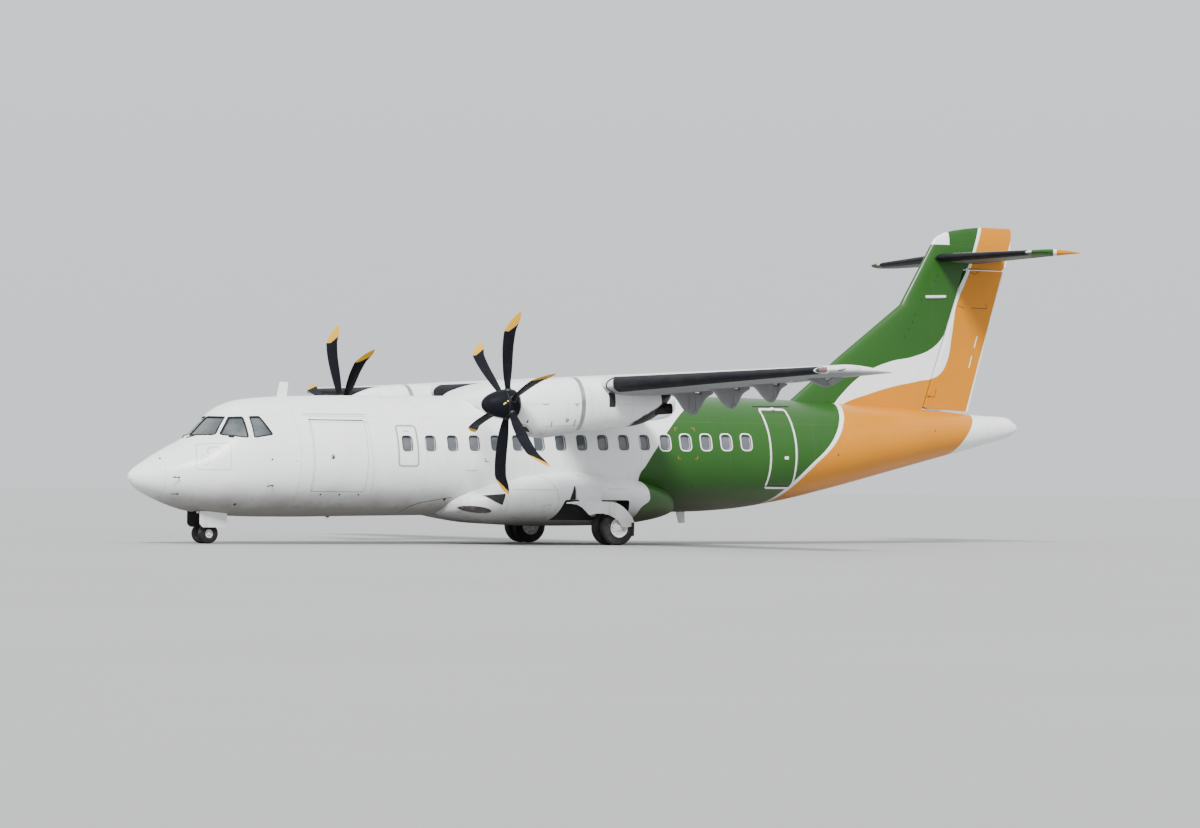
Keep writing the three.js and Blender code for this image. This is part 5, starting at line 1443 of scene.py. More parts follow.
def patch(y0, y1, u_top, u_under):
    """A thin sheet over the wing's leading edge, from u_top above to u_under below: its front stands
    proud of the skin and its back runs just inside."""
    s = np.linspace(1, -1, 28)
    u = s * s * np.where(s > 0, u_top, u_under)
    ys = np.linspace(y0, y1, 20)[:, None]
    front = wing_point(u[None], np.sign(s)[None], ys)
    flat = np.gradient(front, axis=1)
    normal = np.stack([flat[..., 2], 0 * flat[..., 0], -flat[..., 0]], -1)
    normal /= np.linalg.norm(normal, axis=-1, keepdims=True)
    normal *= -1 if normal[0, 0, 2] < 0 else 1
    rings = np.concatenate([front + SHEET * normal, (front - 0.006 * normal)[:, ::-1]], 1)
    return loft("patch", rings)


# %% Ailerons, horns and the wing's pieces
HORN_HEIGHT = 3.551  # of the aileron's hinge beside the horn


def round_hinge(radius, degrees):
    """Points at a radius from the hinge beside the horn, at angles ahead of straight down."""
    angle = np.radians(degrees)
    return np.column_stack([AILERON_HINGE - radius * np.sin(angle), HORN_HEIGHT - radius * np.cos(angle)])


nose_rod = rod("nose", (AILERON_HINGE, 8.708, 3.503), (AILERON_HINGE, 11.992, 3.584), 0.080, 0.050, count=40)
horn_back = [(10.720, 3.340), (10.820, 3.395), (10.920, 3.455), (10.975, 3.505), (10.800, 3.550),
             (10.745, 3.500), (10.662, 3.465), (10.630, 3.440)]
horn = slab("horn", np.vstack([round_hinge(0.232, [56, 48, 40, 30, 20]), horn_back]), 10.63, 10.71)


def both_sides(label, piece, material, slot, body="airframe", nodes=()):
    """Dresses a starboard piece and its mirror image; bodies and nodes are named by their side."""
    piece.name = label + "_right"
    for name, own in (("left", mirrored(piece, label + "_left")), ("right", piece)):
        on = body if body == "airframe" else f"{body}_{name}"
        dress(own, material, slot, on, [f"{node}_{name}" for node in nodes])


track_noses = []
for kind, (_, rise, tracks) in FLAPS.items():
    tails = []
    for i, y in enumerate(tracks):
        hinge = 2.870 + rise * (y - 5.37) * (kind == "outer")
        track_noses += track_nose(y, hinge, 1 - 0.1 * i)
        tails.append(track_tail(y, hinge, 1 - 0.1 * i))
    flap = f"flap_{kind}"
    both_sides(f"flap_fairing_{kind}", joined("tails", tails), fairing_grey_and_shade, "wing_white", flap)
    both_sides(f"{flap}_skin", moving[flap], wing_paint, "wing_white", flap, [flap])
aileron_piece = joined("aileron", [moving["aileron"], nose_rod, horn])
both_sides("aileron_skin", aileron_piece, wing_paint, "wing_white", "aileron", ["aileron"])
both_sides("wing_outer_skin", wings["wing_outer"], wing_paint, "wing_white", nodes=["wing_outer"])
dress(wings["wing_centre"], wing_paint, "wing_white", replaces=["wing_centre"])
foot_back = round_hinge(0.240, [25, 32, 40, 48, 55, 62, 68, 80])
foot_front = [(10.06, 3.52), (10.10, 3.463), (10.22, 3.408), (10.35, 3.358), (10.50, 3.312), (10.60, 3.303)]
aileron_foot = slab("foot", np.vstack([foot_front, foot_back]), 10.62, 10.72)
vent_path = np.array([(10.28, 9.60, 3.39), (10.50, 9.60, 3.46), (10.54, 9.60, 3.48), (10.545, 9.60, 3.55)])
vent_mast = [rod("mast", a, b, 0.009, count=12) for a, b in zip(vent_path[:-1], vent_path[1:])]
both_sides("vent_mast", joined("mast", vent_mast), white_line, "wing_white")
both_sides("flap_track_noses", joined("noses", track_noses + [aileron_foot]), fairing_grey_and_shade, "wing_white")
boots = joined("boots", [patch(4.62, 11.84, 0.085, 0.075), patch(1.36, 3.50, 0.070, 0.060)])
both_sides("wing_boots", boots, boot_rubber, "tyre_rubber")
print("wing pieces:", len([o for o in bpy.data.objects if "wing" in o.name or "flap" in o.name]))


# %% Lamps in the wing's tips
def on_tip(flat, lift):
    """Where the rounded tip lies at each station and height, by halving an interval of the span."""
    x, z = np.asarray(flat, float).T

    def within(y):
        lead, chord, _, _ = wing_values(y)
        u = np.clip((x - lead) / chord, 0, 1)
        return (z < wing_point(u, 1.0, y)[..., 2]) & (z > wing_point(u, -1.0, y)[..., 2]) & (x > lead)

    y = halved(np.full(len(x), 11.9), np.full(len(x), HALF_SPAN), within)
    return np.column_stack([x, np.minimum(y + lift, HALF_SPAN - 0.001), z])


def on_edge(flat, lift):
    """A flat point is a place along the span and the signed root of a share of the chord, above or below
    the leading edge; lifted points move away from a line a hand's breadth behind the edge."""
    y, root = np.asarray(flat, float).T
    point = wing_point(root * root, np.sign(root), y)
    lead, _, level, _ = wing_values(y)
    away = point - np.stack([lead + 0.12, y, level], -1)
    return point + lift * away / np.linalg.norm(away, axis=1, keepdims=True)


oval = ellipse(11.93, 0.0, 0.215, 0.24, 48)
both_sides("tip_lamp_rim", strip("rim", oval, 0.05, on_edge, lift=0.006), white_line, "wing_white")
rear_lamp = [(9.80, 3.590), (10.02, 3.628), (9.94, 3.580), (9.85, 3.566)]
tip_glass = [plate("front lamp", oval, on_edge, 0.003), plate("rear lamp", rear_lamp, on_tip)]
both_sides("tip_lamp_glass", joined("glass", tip_glass), cabin_glass, "window_glass")
tip_lamp = strip("tip_lamp_right", ellipse(11.97, 0.03, 0.085, 0.10, 32), 0.022, on_edge, lift=0.007)
dress(mirrored(tip_lamp, "tip_lamp_left"), red_glass, "window_glass")
dress(tip_lamp, green_glass, "window_glass")
print("lamps: red on the left, green on the right")

# %% [markdown]
# ## The tail
#
# The fin is drawn from sections at twelve heights, the tailplane from three across. Their profile is
# given as shares of the greatest half thickness, from the leading edge back to the hinge, behind which
# it narrows straight to a thin trailing edge. The rudder and the elevators are cut from the same skins
# and get a round front edge that turns inside the fixed part.

# %% Sections of the fin and the tailplane
# Height, leading edge, hinge line, trailing edge, half thickness
FIN = np.array([
    (2.95, 15.880, 19.959, 21.230, 0.165),
    (3.32, 16.350, 20.090, 21.340, 0.165),
    (4.38, 17.700, 20.468, 21.655, 0.150),
    (5.60, 19.340, 20.901, 22.010, 0.135),
    (6.40, 19.823, 21.186, 22.291, 0.120),
    (7.03, 20.200, 21.410, 22.485, 0.108),
    (7.19, 20.300, 21.467, 22.500, 0.098),
    (7.27, 20.410, 21.496, 22.505, 0.088),
    (7.35, 20.600, 21.525, 22.508, 0.076),
    (7.41, 20.830, 21.547, 22.508, 0.062),
    (7.465, 21.180, 21.567, 22.500, 0.044),
    (7.51, 21.580, 21.640, 22.470, 0.020),
])
# Distance from the middle, and the same
TAILPLANE = np.array([
    (0.00, 20.240, 21.550, 22.250, 0.120),
    (3.56, 20.865, 21.550, 21.940, 0.062),
    (3.655, 20.960, 21.550, 21.900, 0.026),
])
# Share of the way to the hinge, and share of the half thickness
TAIL_PROFILE = np.array([(0.0, 0.0), (0.004, 0.15), (0.015, 0.30), (0.035, 0.44), (0.06, 0.56), (0.10, 0.70),
                         (0.16, 0.82), (0.25, 0.94), (0.35, 1.0), (0.50, 1.0), (0.65, 0.97), (0.82, 0.90),
                         (1.0, 0.80)])
tail_profile = curve_through(TAIL_PROFILE, 1)
TAIL_SHARES = np.linspace(0, 1, 22) ** 1.7  # of the way to the hinge, closer together ahead


def tail_rings(rows):
    """For each row a ring of (station, half thickness to a side): out along one side, back along the
    other. Rows are given as span, leading edge, hinge, trailing edge and half thickness."""
    u = TAIL_SHARES[None]
    span, lead, hinge, trail, half = (rows[:, k][:, None] for k in range(5))
    x = np.concatenate([lead + u * (hinge - lead), trail], 1)
    t = np.concatenate([half * tail_profile(u + 0 * lead), 0.006 + 0 * trail], 1)
    around_x = np.concatenate([x[:, ::-1], x[:, 1:]], 1)
    around_t = np.concatenate([t[:, ::-1], -t[:, 1:]], 1)
    return around_x, around_t, span + 0 * around_x


def rows_between(table, values):
    """Rows of a table at more places, straight between its own."""
    return np.column_stack([np.interp(values, table[:, 0], column) for column in table.T])


fin_heights = np.unique(np.concatenate([FIN[:, 0], np.linspace(2.95, 7.03, 18), np.linspace(7.03, 7.51, 9)]))


def fin_skin(name):
    """The whole fin, rudder included."""
    x, t, z = tail_rings(rows_between(FIN, fin_heights))
    return loft(name, np.stack([x, t, z], -1))


def tailplane_skin(name):
    """The whole tailplane, elevators included."""
    tip, middle = np.linspace(3.56, 3.655, 4), np.linspace(-3.4, 3.4, 21)
    spans = np.concatenate([-tip[::-1], middle, tip])
    rows = rows_between(TAILPLANE, np.abs(spans))
    rows[:, 0] = spans
    x, t, y = tail_rings(rows)
    return loft(name, np.stack([x, y, TAIL_LEVEL + t], -1))


# %% Fin and rudder
RUDDER_LOW, RUDDER_HIGH = np.array([20.030, 3.150]), np.array([21.215, 6.480])
rudder_slope = (RUDDER_HIGH - RUDDER_LOW)[0] / (RUDDER_HIGH - RUDDER_LOW)[1]


def rudder_line(z):
    """Station of the rudder's hinge at a height."""
    return RUDDER_LOW[0] + rudder_slope * (z - RUDDER_LOW[1])


def behind_post(back, low, high):
    """The space behind the rudder post between two heights, from back metres ahead of the hinge."""
    outline = [(rudder_line(low) - back, low), (23.0, low - 0.05 * (23.0 - rudder_line(low))), (23.0, high),
               (rudder_line(high) - back, high)]
    return slab("behind post", outline, -0.6, 0.6)


fin_web = slab("web", [(21.11, 6.494), (22.24, 6.494), (22.25, 6.534), (21.11, 6.534)], -0.03, 0.03)
fin_piece = joined("fin_skin", [carve(fin_skin("fin"), behind_post(0.138, 2.8, 6.532)), fin_web])
rudder_nose = rod("nose", (rudder_line(3.19), 0, 3.19), (rudder_line(6.48), 0, 6.48), 0.118, 0.088, count=48)
rudder_nose = carve(rudder_nose, behind_post(0.178, 3.19, 6.48), "INTERSECT")
rudder_piece = joined("rudder_skin", [carve(fin_skin("rudder"), behind_post(0, 3.19, 6.48), "INTERSECT"),
                                      rudder_nose])
dress(fin_piece, fin_paint, "livery_green", replaces=["fin"])
dress(rudder_piece, fin_paint, "livery_orange", "rudder", ["rudder"])
# Faces in the gaps under the fin's cap, beside the rudder post and on the rudder's top are near-black:
# painted shade
second_material(fin_piece, black_marks_and_shade, lambda x, y, z: (z < 6.535) & (
    (z > 6.529) | (np.abs(x - rudder_line(z) + 0.138) < 0.004)))
second_material(rudder_piece, black_marks_and_shade, lambda x, y, z: np.abs(z - 6.48) < 0.002)
print("fin:", len(fin_piece.data.polygons), "faces")

# %% Tailplane and elevators
ELEVATOR_HINGE, ELEVATOR_SPAR = 21.550, 21.440


def elevator_block(gap):
    """The block that the starboard elevator fills; its bay has no gap and starts at the spar."""
    front = ELEVATOR_HINGE if gap else ELEVATOR_SPAR
    return slab("elevator block", rectangle(front, 23.0, 6.0, 7.4), 0.28 + gap, 3.42 - gap)


block_right = elevator_block(0)
tailplane_piece = carve(tailplane_skin("tailplane_skin"), mirrored(block_right, "port block"))
carve(tailplane_piece, block_right)
elevator_nose = rod("nose", (ELEVATOR_HINGE, 0.288, TAIL_LEVEL), (ELEVATOR_HINGE, 3.412, TAIL_LEVEL),
                    0.090, 0.050, count=40)
elevator_piece = joined("elevator", [carve(tailplane_skin("elevator"), elevator_block(GAP), "INTERSECT"),
                                     elevator_nose])
dress(tailplane_piece, tail_paint, "wing_white", replaces=["tailplane"])
for name, own in (("left", mirrored(elevator_piece, "elevator_left_skin")), ("right", elevator_piece)):
    own.name = f"elevator_{name}_skin"
    dress(own, tail_paint, "wing_white", "elevators", [f"elevator_{name}"])
print("tailplane:", len(tailplane_piece.data.polygons), "faces")

# %% De-icing boots on the tailplane
def tail_boot(rows, place, share):
    """A thin sheet round a tail surface's leading edge, back to a share of the way to its hinge."""
    x, t, span = tail_rings(rows)
    keep = np.abs(np.arange(x.shape[1]) - x.shape[1] // 2) <= int(np.sum(TAIL_SHARES <= share))
    x, t, span = x[:, keep], t[:, keep], span[:, keep]
    out_x, out_t = np.gradient(t, axis=1), -np.gradient(x, axis=1)
    size = np.hypot(out_x, out_t)
    sign = np.sign(out_t[:, :1] * t[:, :1])
    out_x, out_t = sign * out_x / size, sign * out_t / size
    front = place(x + SHEET * out_x, t + SHEET * out_t, span)
    back = place(x - 0.006 * out_x, t - 0.006 * out_t, span)
    return loft("boot", np.concatenate([front, back[:, ::-1]], 1))


def on_tailplane(side):
    """Turns a station, half thickness and span into a point."""
    return lambda x, t, span: np.stack([x, side * span, TAIL_LEVEL + t], -1)


plane_rows = rows_between(TAILPLANE, np.linspace(0.15, 3.05, 9))
tail_boots = [tail_boot(plane_rows, on_tailplane(side), 0.13) for side in SIDES.values()]
dress(joined("tailplane_boots", tail_boots), boot_rubber, "tyre_rubber")


print(len(tail_boots), "boots on the tailplane")


# %% Marks and vents on the fin
def on_fin(side):
    """A flat point is a station and a height; the side comes from the fin's table and its profile."""
    def surface(flat, lift):
        x, z = np.asarray(flat, float).T
        _, lead, hinge, trail, half = rows_between(FIN, z).T
        u = (x - lead) / (hinge - lead)
        v = (x - hinge) / (trail - hinge)
        t = np.where(u < 1, half * tail_profile(np.clip(u, 0, 1)),
                     half * tail_profile(1.0) * (1 - v) + 0.006 * v)
        return np.column_stack([x, side * (t + lift), z])
    return surface


FIN_VENTS = [(19.41, 4.86), (19.51, 5.03), (19.62, 5.20), (19.70, 5.38), (19.87, 5.73), (20.24, 6.18),
             (20.33, 6.32)]
# Each vent is a dark plate: painted shade for its opening
fin_vents = [plate("vent", ellipse(x, z, 0.014, 0.030, 16), on_fin(side))
             for side in SIDES.values() for x, z in FIN_VENTS]
dress(joined("fin_vents", fin_vents), black_marks_and_shade, "livery_green")
# Each row: name, paths, width, height over the skin, material, slot, body
FIN_LINES = [
    ("fin_shade", [[(20.00, 5.780), (20.54, 5.805)]], 0.016, 0.026, grey_line, "livery_green", "airframe"),
    ("rudder_joint", [[(20.16, 3.172), (20.55, 3.14)]], 0.010, 0.003, grey_line, "livery_orange", "rudder"),
    ("fin_aerials", [[(19.99, 5.815), (20.56, 5.838)]], 0.050, 0.028, white_line, "livery_green", "airframe"),
    ("rudder_marks", [[(20.93, 5.63), (21.11, 5.58)], [(21.35, 5.59), (21.81, 5.58), (21.77, 5.70)],
                      [(21.27, 6.44), (21.43, 6.385), (21.55, 6.46)],
                      [(20.32, 3.66), (20.27, 3.45), (20.06, 3.48)]],
     0.012, 0.003, black_marks_and_shade, "livery_orange", "rudder"),
    ("rudder_dashes", [[(21.53, 4.92), (21.45, 4.65)], [(21.38, 4.45), (21.30, 4.17)]],
     0.026, 0.003, white_line, "livery_orange", "rudder"),
]
for name, paths, width, lift, material, slot, body in FIN_LINES:
    lines = [trace("line", path, width, on_fin(side), lift) for side in SIDES.values() for path in paths]
    dress(joined(name, lines), material, slot, body)
print(len(fin_vents), "vents and", len(FIN_LINES), "kinds of line on the fin")

# %% [markdown]
# ## Engines and propellers
#
# A nacelle is an oval tube that hangs from the wing. Its chin holds an air intake, a bare metal band
# runs round it behind the intake, and the exhaust leaves low on its outer side. The six blades are
# swept at their tips; a section is a thin lens whose chord, thickness, sweep and twist all change with
# the distance from the shaft.

# %% Nacelles
# Station, top, bottom, half width
NACELLE = np.array([
    (7.035, 3.270, 2.705, 0.315),
    (7.13, 3.325, 2.620, 0.352),
    (7.25, 3.380, 2.460, 0.392),
    (7.40, 3.440, 2.310, 0.432),
    (7.62, 3.505, 2.290, 0.475),
    (8.00, 3.550, 2.335, 0.510),
    (8.40, 3.585, 2.400, 0.524),
    (9.10, 3.605, 2.490, 0.525),
    (9.56, 3.540, 2.530, 0.515),
    (9.96, 3.480, 2.600, 0.470),
    (10.4, 3.420, 2.780, 0.370),
    (10.7, 3.390, 3.110, 0.220),
])
nacelle_top, nacelle_bottom, nacelle_half = (curve_through(NACELLE, k) for k in (1, 2, 3))


def nacelle_rings(x, inset=0.0, count=72, span=(0, 2 * np.pi)):
    """Ovals: half cos a to the side and half the depth times sin a upwards, less the inset."""
    closed = span[1] - span[0] > 6.28
    a = np.linspace(*span, count, endpoint=not closed)[None]
    x = np.asarray(x, float)[:, None]
    top, bottom, half = nacelle_top(x), nacelle_bottom(x), nacelle_half(x)
    y = ENGINE_Y + (half - inset) * np.cos(a)
    return np.stack([x + 0 * a, y, (top + bottom) / 2 + ((top - bottom) / 2 - inset) * np.sin(a)], -1)


nacelle_x = np.concatenate([7.035 + 0.4 * np.linspace(0, 1, 12) ** 1.3, np.linspace(7.5, 10.7, 34)])
nacelle = loft("nacelle_skin", nacelle_rings(nacelle_x))
cavity_x = np.append(7.03, nacelle_x[(nacelle_x > 7.04) & (nacelle_x < 8.85)])
carve(nacelle, loft("cavity", nacelle_rings(cavity_x, 0.035)))
intake = rounded(rectangle(ENGINE_Y - 0.19, ENGINE_Y + 0.19, 2.39, 2.55), 0.06)
carve(nacelle, slab_along("intake", intake, 7.0, 7.6))
EXHAUST = (np.array([9.90, 4.24, 2.905]), np.array([10.64, 4.38, 2.96]))
carve(nacelle, rod("pipe hole", *EXHAUST, 0.118))


print("nacelle:", len(nacelle.data.polygons), "faces")


# %% The nacelle's band, lip, latches and lines
def on_nacelle(side):
    """A flat point is a station and a height; the side is half the root of 1 - s s."""
    def surface(flat, lift):
        x, z = np.asarray(flat, float).T
        top, bottom, half = nacelle_top(x) + lift, nacelle_bottom(x) - lift, nacelle_half(x) + lift
        s = (2 * z - top - bottom) / (top - bottom)
        return np.column_stack([x, ENGINE_Y + side * half * np.sqrt(np.clip(1 - s * s, 0, 1)), z])
    return surface


def intake_lip(flat, lift):
    """Where the slanted front of the chin lies at each side and height, by halving an interval."""
    y, z = np.asarray(flat, float).T

    def outside(x):
        half, depth = nacelle_half(x), (nacelle_top(x) - nacelle_bottom(x)) / 2
        return ((y - ENGINE_Y) / half) ** 2 + ((z - nacelle_bottom(x) - depth) / depth) ** 2 > 1

    x = halved(np.full(len(y), 7.035), np.full(len(y), 7.9), outside)
    return np.column_stack([x - lift, y, z])


def hoop(name, start_x, end_x, lift, span):
    """A band round the nacelle between two stations, open where the span of angles ends."""
    x = np.linspace(start_x, end_x, 4)
    front, back = nacelle_rings(x, -lift, 90, span), nacelle_rings(x[::-1], 0.006, 90, span)
    return loft(name, np.concatenate([front, back]).transpose(1, 0, 2))


band = hoop("band", 8.355, 8.455, 0.004, (np.radians(-62), np.radians(242)))
lip = strip("lip", intake, 0.05, intake_lip, lift=0.006, crown=0.016)
LATCHES = [[(7.692, 2.649), (7.693, 2.521)], [(8.243, 2.687), (8.244, 2.554)],
           [(7.476, 2.990), (7.593, 2.992)], [(8.187, 3.010), (8.297, 3.012)],
           [(8.242, 3.01), (8.242, 2.952)]]
# The outlet and the drain are dark plates, painted shade for their openings; latches and lock are dark lines
grey_nacelle, dark_nacelle = [], []
for side in (-1, 1):
    surface = on_nacelle(side)
    dark_nacelle.append(plate("outlet", rounded(rectangle(9.02, 9.17, 2.96, 3.27), 0.02), surface))
    dark_nacelle += [trace("latch", path, 0.014, surface) for path in LATCHES]
    dark_nacelle.append(strip("lock", ellipse(8.047, 2.669, 0.026, 0.026, 24), 0.018, surface))
    dark_nacelle.append(plate("drain", ellipse(7.206, 2.630, 0.012, 0.030, 16), surface))
    grey_nacelle += [trace("cowl", [(7.528, 2.536), (8.350, 2.562)], 0.008, surface, 0.002),
                     trace("cowl", [(7.05, 2.995), (7.47, 2.990)], 0.006, surface, 0.002)]
both_sides("nacelle_skin", nacelle, nacelle_paint, "nacelle_white", nodes=["nacelle"])
both_sides("nacelle_band", band, bare_metal_light, "engine_metal")
both_sides("intake_lip", lip, bare_metal_light, "engine_metal")
both_sides("nacelle_latches", joined("latches", dark_nacelle), black_marks_and_shade, "nacelle_white")
both_sides("nacelle_lines", joined("lines", grey_nacelle), pale_line, "nacelle_white")
print(len(LATCHES), "latches on each side of a nacelle")

# %% Exhaust pipes and engine cores
ahead = EXHAUST[1] - EXHAUST[0]
length = float(np.linalg.norm(ahead))
pipe_profile = [(0, 0), (0, 0.110), (0.01, 0.115), (length - 0.02, 0.115), (length, 0.112), (length, 0.104),
                (length * 0.35, 0.100), (length * 0.35, 0)]
both_sides("exhaust_pipe", turned("pipe", pipe_profile, EXHAUST[0], ahead), sooty_steel, "exhaust_metal",
           nodes=["exhaust"])
core = [block("core", (7.5, ENGINE_Y - 0.265, 2.70), (8.8497, ENGINE_Y + 0.265, 3.27), 0.08),
        turned("gearbox", [(0, 0), (0, 0.10), (0.05, 0.16), (0.2, 0.20), (0.3, 0.22), (0.3, 0)],
               (7.04, ENGINE_Y, 3.010), (1, 0, 0.05))]
both_sides("engine_core", joined("core", core), steel, "engine_metal", nodes=["engine"])
print(f"exhaust pipe: {length:.2f} m long")

# %% Propeller blades
HUB = np.array([PLANE, 0.0, SHAFT_HEIGHT])
TILT = math.radians(3)
SHAFT = np.array([math.cos(TILT), 0, math.sin(TILT)])
RISE = np.array([-math.sin(TILT), 0, math.cos(TILT)])
PHASE = {"left": 12.6, "right": -12.2}
# Distance from the shaft, chord, thickness, sweep, twist in degrees
BLADE = np.array([
    (0.306, 0.118, 0.096, 0.000, 16),
    (0.46, 0.175, 0.062, -0.022, 13),
    (0.76, 0.240, 0.040, -0.045, 8),
    (1.20, 0.266, 0.024, -0.066, 2),
    (1.52, 0.272, 0.018, -0.048, -2),
    (1.76, 0.216, 0.013, 0.057, -4),
    (1.965, 0.065, 0.008, 0.175, -5),
])


def around_shaft(points, degrees, side):
    """Points given along the shaft, across it and outwards, turned about the shaft and set at a hub:
    across' = across cos p - out sin p and out' = across sin p + out cos p."""
    p = math.radians(degrees)
    along, across, out = np.moveaxis(np.asarray(points, float), -1, 0)
    y = across * math.cos(p) - out * math.sin(p)
    z = across * math.sin(p) + out * math.cos(p)
    centre = HUB + (0, side * ENGINE_Y, 0)
    return centre + along[..., None] * SHAFT + y[..., None] * (0, 1, 0) + z[..., None] * RISE


def blade_grid():
    """Lens-shaped sections: with angle a, u is half cos a of the chord and t half sin a of the thickness,
    fuller ahead. Near the root the lens becomes the round shank; near the tip the chord closes."""
    tip = 1.80 + 0.165 * np.sin(np.linspace(0.15, 1.5, 10))
    r = np.concatenate([np.linspace(0.12, 0.30, 5), np.linspace(0.33, 1.80, 34), tip])
    a = np.linspace(0, 2 * np.pi, 28, endpoint=False)[None]
    body = np.clip(r, BLADE[0, 0], None)
    chord, thick, sweep, twist = (curve_through(BLADE, k)(body)[:, None] for k in (1, 2, 3, 4))
    close = np.sqrt(np.clip(1 - np.clip((r - 1.86) / 0.107, 0, 1) ** 2, 0.02, 1))[:, None]
    shank = np.clip((r - 0.26) / 0.10, 0, 1)[:, None]
    u = np.cos(a) * (0.060 * (1 - shank) + 0.5 * chord * close * shank)
    t = np.sin(a) * (0.060 * (1 - shank) + 0.5 * thick * close * shank * (1 - 0.25 * np.cos(a)))
    c, s = np.cos(np.radians(twist)), np.sin(np.radians(twist))
    return np.stack([u * c - t * s + sweep * shank, u * s + t * c, r[:, None] + 0 * a], -1)


print("blade sections:", blade_grid().shape)

# %% Spinners
SPINNER = [(-0.603, 0.0), (-0.601, 0.022), (-0.590, 0.052), (-0.556, 0.108), (-0.504, 0.158), (-0.444, 0.198),
           (-0.372, 0.231), (-0.303, 0.257), (-0.225, 0.279), (-0.140, 0.294), (-0.060, 0.300), (0.04, 0.302),
           (0.13, 0.300), (0.142, 0.295), (0.145, 0.285), (0.145, 0.0)]


def on_spinner(side):
    """A flat point is a place along the shaft and a length round it from the middle of the outer side:
    the angle is that length over the spinner's greatest radius."""
    along, radius = np.array(SPINNER).T

    def surface(flat, lift):
        x, arc = np.asarray(flat, float).T
        r = np.interp(x, along, radius) + lift
        across, out = side * r * np.cos(arc / 0.3), r * np.sin(arc / 0.3)
        return around_shaft(np.stack([x, across, out], -1), 0, side)

    return surface


# %% Both propellers
SPINNER_LINE = [(0.005, 0.2), (0.005, 0.3035), (0.017, 0.3035), (0.017, 0.2)]
for name, side in SIDES.items():
    body = f"propeller_set_{name}"
    turns = [PHASE[name] + 60 * k for k in range(6)]
    blades = [loft("blade", around_shaft(blade_grid(), turn, side)) for turn in turns]
    dress(joined(f"blades_{name}", blades), blade_paint, "blade_black", body, [f"propeller_{name}"])
    hub = HUB + (0, side * ENGINE_Y, 0)
    dress(turned(f"spinner_dome_{name}", SPINNER, hub, SHAFT, 64), spinner_paint, "spinner_dark", body,
          [f"spinner_{name}"])
    collars = []
    for turn in turns:
        foot, out = around_shaft([(0, 0, 0.285), (0, 0, 0.335)], turn, side)
        collars.append(rod("collar", foot, out, 0.082, 0.070, 0.008, 28))
    line = turned("line", SPINNER_LINE, hub - 0.10 * SHAFT, SHAFT, 64)
    dress(joined(f"spinner_details_{name}", collars + [line]), spinner_metal, "engine_metal", body)
    mark = trace("mark", [(-0.230, -0.010), (-0.170, 0.032)], 0.030, on_spinner(side), 0.002)
    second = trace("mark", [(-0.140, 0.050), (-0.112, 0.070)], 0.030, on_spinner(side), 0.002)
    dress(joined(f"spinner_mark_{name}", [mark, second]), yellow_mark, "livery_orange", body)
print("propellers:", len(PHASE), "with", len(turns), "blades each")

# %% [markdown]
# ## Fairings and landing gear
#
# Large fairings close the corner between wing and barrel and carry the main wheels beside the belly.
# Their sections are rounded boxes. Each main leg is a trailing arm, so that a bump pushes the wheels
# up and back; from the side one sees tyres, bolted rims, and the arched door that follows the leg.

# %% Fairings
# Station, top, bottom, half width
GEAR_FAIRING = np.array([
    (7.02, 0.920, 0.660, 0.550),
    (7.08, 0.970, 0.655, 1.050),
    (7.20, 1.045, 0.635, 1.360),
    (7.46, 1.177, 0.570, 1.620),
    (7.80, 1.325, 0.510, 1.780),
    (8.25, 1.445, 0.450, 1.870),
    (8.77, 1.568, 0.425, 1.920),
    (9.38, 1.662, 0.400, 1.945),
    (9.90, 1.690, 0.400, 1.950),
    (10.5, 1.620, 0.405, 1.945),
    (11.26, 1.540, 0.425, 1.915),
    (11.7, 1.460, 0.465, 1.840),
    (12.1, 1.350, 0.530, 1.690),
    (12.45, 1.180, 0.620, 1.400),
    (12.65, 0.900, 0.690, 1.000),
])
WING_FAIRING = np.array([
    (7.60, 3.225, 3.150, 0.500),
    (8.00, 3.430, 2.700, 1.215),
    (8.50, 3.560, 2.590, 1.290),
    (9.10, 3.600, 2.580, 1.310),
    (10.9, 3.600, 2.590, 1.315),
    (11.7, 3.590, 2.620, 1.310),
    (12.3, 3.480, 2.720, 1.250),
    (12.7, 3.370, 2.950, 1.000),
    (12.9, 3.345, 3.200, 0.600),
])


WELL_WALLS = (1.56, 2.6)  # how far out a wheel well begins and ends
WELL = [(8.93, 0.0), (11.02, 0.0), (11.02, 0.985), (9.41, 0.985)]


def fairing(name, table):
    """Boxy sections along a table's smooth curves, closer together at its ends."""
    t = (1 - np.cos(np.linspace(0, np.pi, 54))) / 2
    x = table[0, 0] + t * (table[-1, 0] - table[0, 0])
    return loft(name, boxy_rings(x, *(curve_through(table, k)(x) for k in (1, 2, 3)), 0.0, 72))


def on_fairing(table, side):
    """The side at a station and height is half times (1 - s s s) to the power 1/3, s being the height
    from the middle as a share of half the depth."""
    top, bottom, half = (curve_through(table, k) for k in (1, 2, 3))

    def surface(flat, lift):
        x, z = np.asarray(flat, float).T
        depth = (top(x) - bottom(x)) / 2
        s = np.clip(np.abs(z - top(x) + depth) / depth, 0, 1)
        return np.column_stack([x, side * ((half(x) * (1 - s ** 3) ** (1 / 3)) + lift), z])

    return surface


gear_fairing = fairing("gear_fairing", GEAR_FAIRING)
for side in SIDES.values():
    carve(gear_fairing, slab("well", rounded(WELL, 0.05, 4), *sorted(side * wall for wall in WELL_WALLS)))
dress(gear_fairing, fairing_paint, "fuselage_white", replaces=["main_gear_fairing"])


def in_well(x, y, z):
    """True for faces of the wheel wells, which lie at least two centimetres inside the skin."""
    skin = on_fairing(GEAR_FAIRING, 1)(np.column_stack([np.clip(x, 8, 12), z]), -0.02)[:, 1]
    return (x > 8.9) & (x < 11.05) & (np.abs(y) > 1.55) & (np.abs(y) < skin) & (z < 0.99)


